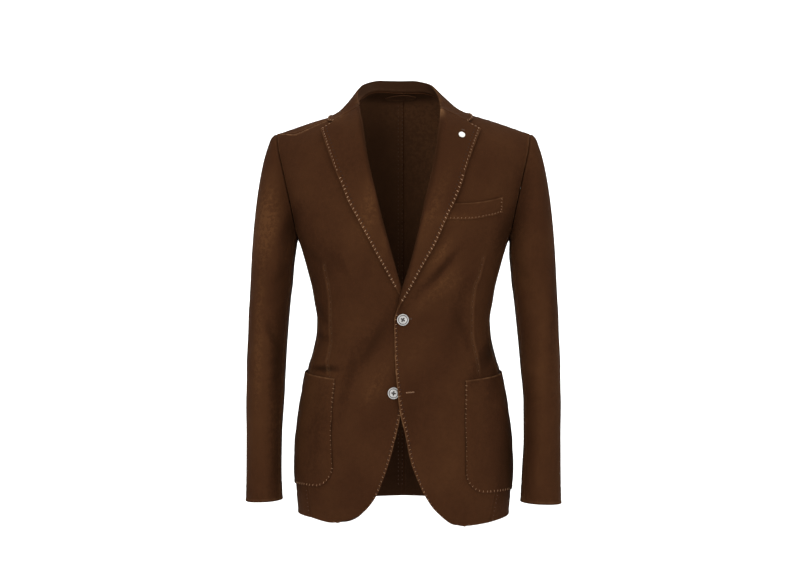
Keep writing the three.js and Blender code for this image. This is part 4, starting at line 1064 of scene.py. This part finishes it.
def fold_point(name, sign, share):
    t = np.minimum(share, LAST_STATION)
    high = collar_track["foldZ"](t)
    middle = NECK_X + COLLAR_LEAN * ease(-10, 42, high)
    station = np.stack([middle + sign * collar_track["foldX"](t), collar_track["foldY"](t), high], -1)
    rest = ((share - t) / (1 - LAST_STATION))[..., None]
    return mix(station, gorge_point(name, sign, np.zeros_like(share))[0], rest)


# The level way out from the neck's middle.
def neck_way(point):
    return unit(np.stack([point[..., 0] - NECK_X, point[..., 1] - COLLAR_Y, 0 * point[..., 0]], -1))


def leaf_point(name, sign, share, v):
    t = np.minimum(share, LAST_STATION)
    point = fold_point(name, sign, t)
    out = neck_way(point)
    bulge = collar_track["bulge"](t) * 4 * v * (1 - v)
    x = NECK_X + sign * collar_track["edgeX"](t)
    place = torso_place_beside(x, collar_track["edgeDown"](t))
    fallen = torso_skin(place, CLOTH + LEAF_CLEAR)[0]
    point = mix(point, fallen, v[..., None])
    point = point + out * (mix(GAP / 2 + CLOTH, 0, v) + bulge * 0.8)[..., None]
    point[..., 2] += bulge * 0.6 - collar_track["sag"](t) * 6.75 * v * v * (1 - v)
    return mix(point, gorge_point(name, sign, v)[0], ((share - t) / (1 - LAST_STATION))[..., None])


def both_sides(point_at, u, v):
    left = point_at("left", LEFT, np.abs(2 * u - 1), v)
    right = point_at("right", RIGHT, np.abs(2 * u - 1), v)
    return np.where((u < 0.5)[..., None], right, left)


def collar_leaf():
    # a row runs from the fold to the fallen edge, so that the fold is the grid's first column
    share, v = np.meshgrid(stations(505, 2.9, (0.9, 2.2, 4)), stations(60, 2.6), indexing="ij")
    points = both_sides(leaf_point, share, v)
    away = points - np.array([NECK_X, COLLAR_Y, -20])
    normals = facing(grid_normals(points), away)
    lapel_normals = both_sides(lambda n, s, a, b: gorge_point(n, s, b)[1], share, v)
    to_lapel = ease(0.8, 0.97, np.abs(2 * share - 1))[..., None]
    normals = unit(mix(normals, lapel_normals, to_lapel))
    reach = Reach(points)
    relief = edge_relief(reach.right, reach.along, 73)
    for distance, seed in ((reach.bottom, 71), (reach.top, 72)):
        relief += seam_relief(distance, reach.across, seed, 0.7, 0.3, 0.2)
    relief += 0.3 * waver(reach.along, 70, 74) * ease(0, 20, reach.left) * ease(0, 20, reach.right)
    points = points + normals * relief[..., None]
    wear = edge_wear(reach.right, reach.along, 75) + 0.08 * hump(reach.left, 0, 3)
    wear = wear + 0.4 * seam_wear(reach.bottom, reach.across, 76)
    wear = wear + 0.4 * seam_wear(reach.top, reach.across, 77)
    grids["leaf_face"] = (points, normals)
    points, normals, wear = with_fold(points, normals, wear, 1.9)
    rims = (0.35, 0.35, 0.0, 0.8)
    put("cloth_collar_leaf", points, normals, wear, rims, materials=(CLOTH_OUT,))


NECK_SHARE = 0.58
STAND_END = 0.93
STAND_GAP = 0.8
TAB_THICK = 1.2
TAB_ANGLE = 180 - 0.9


def stand_foot(name, sign, share):
    on_back = torso_skin(neckline_place(name, sign, np.minimum(share / NECK_SHARE, 1), STAND_GAP))[0]
    t = np.clip((share - NECK_SHARE) / (1 - NECK_SHARE), 0, 1)[..., None]
    neck = torso_skin(neckline_place(name, sign, np.ones_like(share), STAND_GAP))[0]
    inward = np.array([-2.2 * sign * STAND_GAP, 0, 3.4 * STAND_GAP])
    roll = torso_skin(roll_top_place(name, sign))[0] + inward
    return np.where((share <= NECK_SHARE)[..., None], on_back, mix(neck, roll, t))


def stand_point(name, sign, share, v):
    fold = fold_point(name, sign, share)
    return mix(stand_foot(name, sign, share), fold - neck_way(fold) * (GAP / 2), v[..., None])


def collar_stand():
    u, v = np.meshgrid(0.5 + (stations(420, 3.2) - 0.5) * STAND_END, stations(38, 2.6, (0.8, 1.9, 3.4)))
    points = both_sides(stand_point, u, v)
    away = points * [1, 1, 0] - np.array([NECK_X, COLLAR_Y, 0])
    normals = facing(grid_normals(points), away)
    reach = Reach(points)
    inner = -seam_relief(reach.bottom, reach.across, 81, 0.8, 0.4, 0.2)
    points = points + normals * (inner + 0.2 * waver(reach.across, 60, 82) * np.sin(math.pi * v))[..., None]
    wear = 0.8 * seam_wear(reach.bottom, reach.across, 83) + 0.2 * hump(reach.top, 0, 2)
    put("cloth_collar_stand", points, normals, wear, (0.4, 0.0, 0.2, 0.2))


def neck_tab():
    u, v = np.meshgrid(stations(62, 2.4), stations(13, 1.8, (0.6, 1.4, 2.6)))
    turn = mix(-1, 1, u)
    drop = 2 + 13 * v * np.sqrt(1.02 - turn * turn)
    points, normals = torso_skin((4.2 * turn - TAB_ANGLE, nape[1] + drop), -CLOTH - 3)
    reach = Reach(points)
    wear = 2.4 * edge_wear(reach.top, reach.across, 85, 1)
    put("cloth_neck_tab", points, normals, wear, (0.5, 0.6, 0.5, 0.5),
        materials=(CLOTH_IN, CLOTH_IN), thick=TAB_THICK)


# Pockets
FULL_RIMS = (0.8, 0.8, 0.8, 0.8)


def pocket_place(name, sign, u, v):
    size = PATCH[name]
    angle = mix(follow(PATCH_FRONT, "share", name)(v), size["rear"], u)
    in_corner = np.maximum(0, 1 - np.minimum(u, 1 - u) * 160 / size["corner"])
    low = size["bottom"] + size["corner"] * (1 - np.sqrt(np.maximum(0, 1 - in_corner ** 2)))
    high = size["top"] + size["rise"] * u
    return torso_place_at(sign * angle, mix(low, high, v))


def patch_pocket(name, sign):
    share = stations(150, 2.9)
    u, v = np.meshgrid((1 - np.cos(math.pi * share)) / 2, stations(196, 2.9))
    gape = 1.4 * ease(0.8, 1, v) * 4 * u * (1 - u)
    points, normals = torso_skin(pocket_place(name, sign, u, v), CLOTH + LAY + gape)
    reach = Reach(points)
    near = np.minimum(np.minimum(reach.left, reach.right), reach.bottom)
    around = reach.along + reach.across
    pillow = 0.9 * ease(0, 34, near) * ease(0, 60, reach.top + 24)
    pinch = -0.75 * hump(near, 3.2, 2.2) * (0.8 + 0.2 * np.cos(2 * math.pi * around / 8.5))
    band = -0.12 * hump(reach.top, 21, 2.4) + 0.3 * hump(reach.top, 1.4, 1.6)
    crease = 0.5 * waver(around, 58, 91 + sign) * ease(0, 40, near)
    relief = pillow + pinch + band + crease + 0.2 * hump(near, 0.8, 1)
    relief += 0.25 * waver(reach.across, 18, 93) * np.exp(-near / 9)
    points, normals = raised(points, normals, relief)
    wear = edge_wear(near, around, 95, 1.6) * ease(0, 60, reach.bottom)
    wear = wear + 2 * edge_wear(reach.top, reach.across, 97, 1.2)
    put(f"cloth_patch_{name}", points, normals, wear, FULL_RIMS, f"patch_pocket_{name}")


def breast_welt():
    u, v = np.meshgrid(stations(100, 2.6), stations(28, 2.4))
    bottom = follow(WELT, "x", "bottom")
    top = follow(WELT, "x", "top")
    x = mix(mix(WELT_END["bottom"], WELT_END["top"], v), WELT["x"][-1], u)
    points, normals = torso_skin(torso_place(x, mix(bottom(x), top(x), v)), CLOTH + LAY)
    reach = Reach(points)
    relief = 0.55 * ease(0, 9, reach.bottom) * ease(0, 9, reach.right) - 0.4 * hump(reach.bottom, 2.2, 1.6)
    relief += 0.3 * hump(reach.top, 1.5, 1.5) - 0.4 * hump(reach.right, 2.4, 1.6)
    relief += 0.25 * waver(reach.across, 26, 101)
    points, normals = raised(points, normals, relief)
    wear = edge_wear(reach.top, reach.across, 103, 1.4) + 0.7 * edge_wear(reach.right, reach.along, 104)
    wear = wear + 0.7 * edge_wear(reach.bottom, reach.across, 105)
    put("cloth_breast_welt", points, normals, wear, FULL_RIMS)


# Sleeves
sleeve_tracks = {key: follow(SLEEVE, "z", key) for key in SLEEVE if key != "z"}
SLEEVE_RADIUS = 52
SLEEVE_SQUARENESS = 2.15
CUFF_TILT = 1.4
CAP_PART = 0.36
SLEEVE_FRONT_SEAM = 8
SLEEVE_BACK_SEAM = 17
SLEEVE_SEAM_GAP = 0.22
ARMHOLE_STEPS = 7
SIDE_STEPS = 8


def tube_point(name, sign, turn, z):
    outer = sleeve_tracks["outer"](z)
    inner = sleeve_tracks[name](z)
    cosine = np.cos(turn * DEG)
    sine = np.sin(turn * DEG)
    across = np.sign(cosine) * np.abs(cosine) ** (2 / SLEEVE_SQUARENESS)
    along = np.sign(sine) * np.abs(sine) ** (2 / SLEEVE_SQUARENESS)
    x = (outer + inner) / 2 + (outer - inner) / 2 * across
    y = sleeve_tracks["y"](z) - sleeve_tracks["halfDepth"](z) * along
    return np.stack([sign * x, y, z - CUFF_TILT * cosine * ease(-500, CUFF_Z[name], z)], -1)


def armhole_turns(sign):
    shares = np.linspace(0, 1, 241)
    points = torso_point(*armhole_place(sign, shares))
    run = run_of(points)
    rows = {"turn": 360 * run / run[-1], "share": shares}
    return follow(rows, "turn", "share"), follow(rows, "share", "turn")


def sleeve_start(sign, turn, share_of):
    share = share_of(np.mod(turn, 360))
    place = armhole_place(sign, share)
    point = torso_point(*place)
    normal = torso_normal(*place)
    before = torso_point(*armhole_place(sign, np.maximum(0, share - 0.004)))
    after = torso_point(*armhole_place(sign, np.minimum(1, share + 0.004)))
    off = unit(np.cross(normal, unit(after - before)) * sign)
    top = (1 + np.cos(turn * DEG)) / 2
    way = unit(np.stack([
        sign * (0.12 + 0.85 * top ** 0.6), -0.6 * np.sin(turn * DEG), -(0.22 + 0.8 * (1 - top) ** 1.5),
    ], -1))
    half = np.arctan2(dot(way, normal), dot(way, off)) / 2
    point = point + off * (GAP * np.cos(half))[..., None] + normal * (GAP * np.sin(half))[..., None]
    return point, way, top


def sleeve_point(name, sign, turn, v, share_of):
    point, way, top = sleeve_start(sign, turn, share_of)
    low = np.full_like(turn, CAP_Z)
    end = tube_point(name, sign, turn, low)
    up = unit(end - tube_point(name, sign, turn, low - 12))
    far = np.linalg.norm(end - point, axis=-1)
    leave = point + way * (far * mix(0.28, 0.1, top))[..., None]
    arrive = end + up * (far * mix(0.3, 0.5, top))[..., None]
    t = np.minimum(v / CAP_PART, 1)[..., None]
    cap = (1 - t) ** 3 * point + 3 * (1 - t) ** 2 * t * leave + 3 * (1 - t) * t * t * arrive + t ** 3 * end
    z = mix(CAP_Z, CUFF_Z[name], np.clip((v - CAP_PART) / (1 - CAP_PART), 0, 1))
    return np.where((v <= CAP_PART)[..., None], cap, tube_point(name, sign, turn, z))


def sleeve_piece(kind, name, sign, turns, share_of):
    width = SLEEVE_RADIUS * DEG * (turns[-1] - turns[0])
    u, v = np.meshgrid(stations(width), stations(650))
    last = len(turns) - 1
    turn = np.interp(u * last, np.arange(last + 1), turns)
    points = sleeve_point(name, sign, turn, v, share_of)
    middle = np.stack([
        sign * 0.5 * (sleeve_tracks["outer"](points[..., 2]) + sleeve_tracks[name](points[..., 2])),
        sleeve_tracks["y"](points[..., 2]), np.minimum(points[..., 2], -80),
    ], -1)
    normals = facing(grid_normals(points), points - middle)
    turn = np.mod(turn, 360)
    around = turn * DEG * SLEEVE_RADIUS
    fold = np.zeros_like(u)
    for at, z, lean, long, wide, rise in SLEEVE_FOLDS:
        fold += ridge(around - at * DEG * SLEEVE_RADIUS, points[..., 2] - z, lean, long, wide, rise)
    reach = Reach(points)
    relief = ease(0, 0.12, v) * fold + hem_relief(reach.top, reach.across, 117, 30)
    head = np.cos(turn * DEG)
    fullness = 1.3 * hump(reach.bottom, 11, 9) * ease(-0.2, 0.8, head)
    puckers = 0.55 * waver(around, 13, 111 + sign) * np.exp(-reach.bottom / 12) * ease(-0.5, 0.5, head)
    relief += fullness + puckers - 0.5 * hump(reach.bottom, 0, 1.6) + 0.4 * hump(reach.bottom, 3.5, 2.5)
    for distance, seed in ((reach.left, 113), (reach.right, 115)):
        relief += seam_relief(distance, reach.along, seed, 0.8, 0.35, 0.3)
    points, normals = raised(points, normals, relief)
    wear = seam_wear(reach.left, reach.along, 119) + seam_wear(reach.right, reach.along, 121)
    wear = wear + 0.6 * seam_wear(reach.top, reach.across, 123)
    wear = wear + 0.2 * seam_wear(reach.bottom, reach.across, 125)
    put(f"cloth_{kind}_{name}", points, normals, wear, (0.2, 0.8, 0.2, 0.2))


def sleeve(name, sign):
    share_of, turn_of = armhole_turns(sign)
    low = armhole_share(ARMHOLE_FRONT_SEAM)
    high = armhole_share(ARMHOLE_BACK_SEAM)
    shares = np.concatenate([
        low * np.arange(ARMHOLE_STEPS + 1) / ARMHOLE_STEPS,
        mix(low, high, np.arange(1, SIDE_STEPS + 1) / SIDE_STEPS),
        mix(high, 1, np.arange(1, ARMHOLE_STEPS + 1) / ARMHOLE_STEPS),
    ])
    turns = turn_of(shares)
    under = turns[SLEEVE_FRONT_SEAM:SLEEVE_BACK_SEAM + 1].copy()
    top = np.concatenate([turns[SLEEVE_BACK_SEAM:-1] - 360, turns[:SLEEVE_FRONT_SEAM + 1]])
    for piece in (top, under):
        piece[0] += SLEEVE_SEAM_GAP
        piece[-1] -= SLEEVE_SEAM_GAP
    sleeve_piece("top_sleeve", name, sign, top, share_of)
    sleeve_piece("under_sleeve", name, sign, under, share_of)


for side in SIDES:
    for make in (front_panel, side_panel, back_panel, lapel, patch_pocket, sleeve):
        make(*side)
for make in (collar_leaf, collar_stand, neck_tab, breast_welt):
    make()


# Buttons and stud
# A hard piece whose own up is turned to the cloth's normal.
def fastening(name, shape, materials, centre, normal, node_name, turn=0.0):
    points, faces, indices = shape
    upright = Vector(normal).to_track_quat("Z", "Y").to_matrix() @ Matrix.Rotation(turn, 3, "Z")
    points = np.array(points, float) @ np.array(upright).T + centre
    return attach(new_object(name, points, faces, materials, indices), node_name)


# A turned profile of (radius, height, material), closed at the axis at both ends.
def turned(profile, sides=56):
    points = [(0, 0, profile[0][1])]
    for radius, height, _ in profile:
        for k in range(sides):
            angle = 2 * math.pi * k / sides
            points.append((radius * math.cos(angle), radius * math.sin(angle), height))
    points.append((0, 0, profile[-1][1]))
    steps = [(k, (k + 1) % sides) for k in range(sides)]
    faces = [(0, 1 + b, 1 + a) for a, b in steps]
    for ring in range(len(profile) - 1):
        low = 1 + ring * sides
        faces += [(low + a, low + b, low + sides + b, low + sides + a) for a, b in steps]
    last = 1 + (len(profile) - 1) * sides
    faces += [(last + a, last + b, len(points) - 1) for a, b in steps]
    materials = [material for _, _, material in profile]
    return points, faces, np.repeat(materials + materials[-1:], sides)


BUTTON_PROFILE = [
    (7.9, 0, 0), (8.9, 0.25, 0), (9.6, 0.8, 0), (9.95, 1.5, 0), (10, 2, 0), (9.8, 2.6, 0), (9.45, 3, 0),
    (9, 3.2, 0), (8.55, 3.1, 0), (8.2, 2.8, 0), (7.9, 2.4, 1), (7.5, 2.05, 1), (7, 2.05, 1), (6.7, 2.35, 0),
    (6.2, 2.6, 0), (5, 2.5, 0), (3.9, 2.35, 0), (3.2, 2.3, 0), (1.6, 2.28, 0),
]
HOLE_RADIUS = 1.45
HOLE_REACH = 2.5
THREAD_HEIGHT = 2.45


# A rod through a button, to cut one hole.
def hole_cutter(spot, spin):
    mesh = bpy.data.meshes.new("bore")
    rod = bmesh.new()
    radius = HOLE_RADIUS * 0.001
    bmesh.ops.create_cone(rod, cap_ends=True, segments=20, radius1=radius, radius2=radius, depth=0.012)
    rod.to_mesh(mesh)
    rod.free()
    cutter = bpy.data.objects.new("bore", mesh)
    bpy.context.scene.collection.objects.link(cutter)
    cutter.matrix_world = spin.to_4x4()
    cutter.location = spot * 0.001
    return cutter


# Cuts four holes through a button and lays a cross of thread over them.
def sewn_button(name, centre, normal, node_name, turn):
    shape = turned(BUTTON_PROFILE)
    obj = fastening(name, shape, [PEARL, PEARL_DARK], centre, normal, node_name, turn)
    spin = Vector(normal).to_track_quat("Z", "Y").to_matrix()
    holes = []
    cutters = []
    for k in range(4):
        angle = turn + math.pi / 4 + k * math.pi / 2
        spot = spin @ Vector((math.cos(angle), math.sin(angle), 0)) * HOLE_REACH + Vector(centre)
        holes.append(np.array(spot))
        cutters.append(hole_cutter(spot, spin))
    bpy.context.view_layer.update()
    for cutter in cutters:
        modifier = obj.modifiers.new("holes", "BOOLEAN")
        modifier.operation = "DIFFERENCE"
        modifier.solver = "EXACT"
        modifier.object = cutter
    bpy.context.view_layer.update()
    cut = bpy.data.meshes.new_from_object(obj.evaluated_get(bpy.context.evaluated_depsgraph_get()))
    obj.modifiers.clear()
    obj.data = cut
    for cutter in cutters:
        bpy.data.objects.remove(cutter)
    lines = []
    for crossing, (a, b) in enumerate(((0, 2), (1, 3))):
        way = unit(holes[b] - holes[a])
        middle = (holes[a] + holes[b]) / 2 + normal * (THREAD_HEIGHT + 0.25 * crossing)
        for side in (-0.28, 0.28):
            beside = middle + np.cross(normal, way) * side
            lines.append((beside[None], way[None], normal[None], 5.4))
    stitches(name + "_thread", lines, THREAD_AND_PINCH_SHADOW, 0.3)


# Places on a front given by x and z, moved out by a lift.
def on_front(sign, x, z, lift=0.0):
    place = torso_place(x, z)
    return torso_skin(place, lift + front_lift(sign, torso_point(*place)))


for name, sign, x, z, seat, node_name, turn in (
    ("button_top", LEFT, -1.2, -368, 1.1, "button_upper", 0.15),
    ("button_low", RIGHT, -17, -493, 0.7, "button_lower", 0.6),
):
    point, normal = (rows[0] for rows in on_front(sign, np.array([x]), np.array([z])))
    sewn_button(name, point + normal * seat, normal, node_name, turn)

STUD_RADIUS = 5.8
STUD_PROFILE = [(5.2, 0, 0), (5.6, 0.25, 0), (STUD_RADIUS, 0.7, 0)] + [
    (STUD_RADIUS * math.cos(t), 0.7 + 1.9 * math.sin(t), 0) for t in np.linspace(0.12, 1.5, 12)
]
point, normal = (rows[0] for rows in lapel_skin("left", LEFT, np.array([0.615]), np.array([0.9175])))
stud_shape = turned(STUD_PROFILE, 44)
fastening("white_stud", stud_shape, [STUD_WHITE], point + normal * 0.4, normal, "lapel_stud")

# Stitching
THREADS = {
    "stitch_edges": (THREAD, 0.42),
    "stitch_fronts": (THREAD_WORN, 0.36),
    "stitch_tops": (THREAD, 0.27),
    # painted pinch shadows: dark ticks sunk where the stitches pull the edge down
    "pinch_shadows": (THREAD_AND_PINCH_SHADOW, 0.42),
    "stitch_pockets": (THREAD_WORN, 0.38),
    "stitch_pocket_bottoms": (THREAD_DARK, 0.34),
    "stitch_seams": (THREAD_DARK, 0.26),
    "stitch_inside": (THREAD_DARK, 0.34),
}
WORKED_END = -118  # where the lapel's worked edge turns finer
POCKET_CORNER = 34  # the column of a pocket's grid where its lower corner has been rounded
rows_of = {group: [] for group in THREADS}


# A row of a grid's points that lies some mm from one of its borders.
def near_border(name, offset, side):
    points, normals = grids[name]
    distance = getattr(Reach(points), side)
    down_columns = side in ("left", "right")
    k = int(np.argmin(np.abs(np.median(distance, axis=0 if down_columns else 1) - offset)))
    return (points[:, k], normals[:, k]) if down_columns else (points[k], normals[k])


def below(z):
    return lambda points: points[:, 2] < z


def above(z):
    return lambda points: points[:, 2] >= z


def first(share):
    return lambda points: np.arange(len(points)) < int(len(points) * share)


def beyond(share):
    return lambda points: np.linspace(0, 1, len(points)) > share


def sew(group, line, keep, *values, **more):
    points, normals = line
    if keep:
        kept = keep(points)
        points, normals = points[kept], normals[kept]
    rows_of[group].append(ticks(points, normals, *values, **more))


def sew_side(name, sign):
    lapel_name = f"lapel_face_{name}"
    front_name = f"cloth_front_{name}"
    rim = below(ROLL_FOOT[name] - 6)
    edge = near_border(lapel_name, 1.7, "right")
    sew("stitch_edges", edge, below(WORKED_END), 7.2, 72 * sign, 4, 201 + sign, 12)
    sew("stitch_tops", edge, above(WORKED_END), 6.6, 28 * sign, 3.4, 202 + sign, 2)
    # Painted shadow: dark ticks sunk into the lapel's pinches, standing in for their shade.
    groove = near_border(lapel_name, 5.4, "right")
    sew("pinch_shadows", groove, None, 7.2, 72 * sign, 2.6, 201 + sign, 14, lift=0)
    top = near_border(lapel_name, 1.9, "top")
    sew("stitch_tops", top, beyond(NOTCH_SHARE + 0.02), 6.6, 30 * sign, 3.2, 203 + sign)
    sew("stitch_fronts", near_border(front_name, 1.9, "left"), rim, 7.7, -72 * sign, 3.2, 205 + sign)
    # Painted shadow: dark ticks sunk into the front edge's pinches, standing in for their shade.
    groove = near_border(front_name, 4.8, "left")
    sew("pinch_shadows", groove, rim, 7.7, -72 * sign, 2.6, 205 + sign, 3, lift=0)
    sew("stitch_fronts", near_border(front_name, 1.9, "bottom"), first(0.32), 7.7, 72 * sign, 4, 207 + sign)
    pocket = grids[f"cloth_patch_{name}"]
    front_rim = [np.concatenate([grid[::-1, 2], grid[2, 3:POCKET_CORNER]]) for grid in pocket]
    sew("stitch_pockets", front_rim, None, 8, 78, 3.8, 211 + sign, 4)
    rear_rim = [np.concatenate([grid[2, POCKET_CORNER:-3], grid[:, -3]]) for grid in pocket]
    sew("stitch_pocket_bottoms", rear_rim, None, 8, 78, 3.4, 217 + sign, 4)
    line = np.array(DARTS[name], float)
    run = run_of(line)
    at = np.linspace(0, run[-1], int(run[-1] / 2))
    dart = on_front(sign, np.interp(at, run, line[:, 0]), np.interp(at, run, line[:, 1]), 0.05)
    sew("stitch_seams", dart, None, 11, 6, 1.8, 221 + sign, 4, lift=0)
    sew("stitch_seams", near_border(f"cloth_side_{name}", 3.4, "left"), below(-655), 7, 84, 3.4, 223 + sign)


for name, sign in SIDES:
    sew_side(name, sign)
sew("stitch_tops", near_border("leaf_face", 2.2, "right"), None, 7.2, 60, 2.8, 209)
sew("stitch_pockets", near_border("cloth_breast_welt", 1.9, "bottom"), None, 6.5, 60, 2.2, 213, 3)
sew("stitch_pockets", near_border("cloth_breast_welt", 1.9, "right"), None, 6, 70, 3.2, 215, 2)
sew("stitch_seams", near_border("cloth_front_right", 3.4, "top"), first(0.9), 5, 55, 2.2, 225, 4)
# The middle seam's double row, seen from inside
middle_z = np.linspace(20, -672, 500)
for offset, seed in ((-9.4, 231), (-2.2, 233)):
    place = torso_place(np.full_like(middle_z, offset), middle_z, True)
    points, normals = torso_skin(place, -CLOTH)
    sew("stitch_inside", (points, -normals), None, 7.4, 4, 3.0, seed, 3)
for group, (thread, radius) in THREADS.items():
    stitches(group, rows_of[group], thread, radius)


# A worked buttonhole: close thread round a slit, with a rounded end.
def buttonhole(name, skin, start, end, width, thread):
    start = np.array(start, float)
    way = np.array(end, float) - start
    length = np.linalg.norm(way)
    way = way / length
    side = np.array([-way[1], way[0]])

    def row(flat, ahead, lift, long):
        points, normals = skin(*flat.T)
        return points + normals * lift, unit(skin(*(flat + ahead).T)[0] - points), normals, long

    count = int(length / 0.62)
    steps = np.outer((np.arange(count) + 0.5) * length / count, way)
    lines = []
    for half in (-width / 2, width / 2):
        lines.append(row(start + steps + side * half, side * 0.5, STITCH_LIFT, width))
    for angle in np.linspace(-80, 80, 7) * DEG:
        outwards = -(way * math.cos(angle) + side * math.sin(angle))
        lines.append(row((start + outwards * width * 0.55)[None], outwards * 0.5, STITCH_LIFT, width))
    stitches(name, lines, thread, 0.24)
    slit = start + np.outer(np.linspace(0.02, 0.98, 14) * length, way)
    stitches(name + "_slit", [row(slit, way * 0.5, 0.06, length / 12)], SLIT, 0.3)


def left_front(x, z):
    return on_front(LEFT, x, z)


# Hundredths across the left lapel and four-hundredths along it, which are nearly millimetres.
def left_lapel(across, along):
    return lapel_skin("left", LEFT, across / 100, along / 400)


buttonhole("hole_low", left_front, (5, -492), (18, -491), 1.1, THREAD_WORN)
buttonhole("hole_top", left_front, (9, -366.5), (14, -366), 1.5, THREAD_DARK)
buttonhole("hole_lapel", left_lapel, (64, 379), (57, 377), 1.3, THREAD_DARK)

# Stage, light and camera, in metres
FLOOR_Z = -1.02
FLOOR_FRONT = -5.0
FLOOR_BACK = 4.6
STAGE_BEND = 1.6
STAGE_TOP = 5.0
STAGE_HALF = 7.0


def backdrop():
    profile = [(FLOOR_FRONT, FLOOR_Z)]
    for angle in np.linspace(0, math.pi / 2, 17):
        rise = STAGE_BEND * (1 - math.cos(angle))
        profile.append((FLOOR_BACK + STAGE_BEND * math.sin(angle), FLOOR_Z + rise))
    profile.append((FLOOR_BACK + STAGE_BEND, STAGE_TOP))
    points = [(x * 1000, y * 1000, z * 1000) for y, z in profile for x in (-STAGE_HALF, STAGE_HALF)]
    faces = [(2 * i, 2 * i + 1, 2 * i + 3, 2 * i + 2) for i in range(len(profile) - 1)]
    white = {"Base Color": (0.93, 0.93, 0.93, 1), "Roughness": 1.0, "Specular IOR Level": 0.0}
    new_object("floor_and_backdrop", points, faces, [principled("stage_white", white)[0]])


def area_light(name, place, target, size, power):
    data = bpy.data.lights.new(name, "AREA")
    data.shape = "RECTANGLE"
    data.size, data.size_y = size
    data.energy = power
    obj = bpy.data.objects.new(name, data)
    bpy.context.scene.collection.objects.link(obj)
    obj.location = place
    obj.rotation_euler = (Vector(target) - Vector(place)).to_track_quat("-Z", "Y").to_euler()


backdrop()
area_light("key", (-1.7, -3.2, 1.3), (0, 0, -0.3), (2.2, 2.2), 62)
area_light("fill", (2.2, -3.0, 0.2), (0, 0, -0.35), (2.4, 2.4), 34)
area_light("top", (0.2, -0.6, 2.4), (0, 0, -0.3), (2.4, 2.0), 26)
area_light("back", (0, 1.9, 2.2), (0, 3.2, -0.6), (4.5, 1.2), 70)
area_light("far", (0, 4.3, 2.4), (0, 6.1, 0.1), (6.0, 1.4), 130)

world = bpy.data.worlds.new("studio")
bpy.context.scene.world = world
world.use_nodes = True
sky = world.node_tree.nodes["Background"].inputs
sky["Color"].default_value = (1, 1, 1, 1)
sky["Strength"].default_value = 0.72

camera_data = bpy.data.cameras.new("camera")
camera_data.sensor_width = 36
camera_data.lens = 89.5
camera_data.clip_end = 50
camera = bpy.data.objects.new("camera", camera_data)
bpy.context.scene.collection.objects.link(camera)
camera.location = (-0.0062, -3.5, -0.324)
camera.rotation_euler = (math.pi / 2, 0, 0)
bpy.context.scene.camera = camera
bpy.context.scene.view_settings.view_transform = "Standard"
bpy.context.scene.view_settings.look = "None"
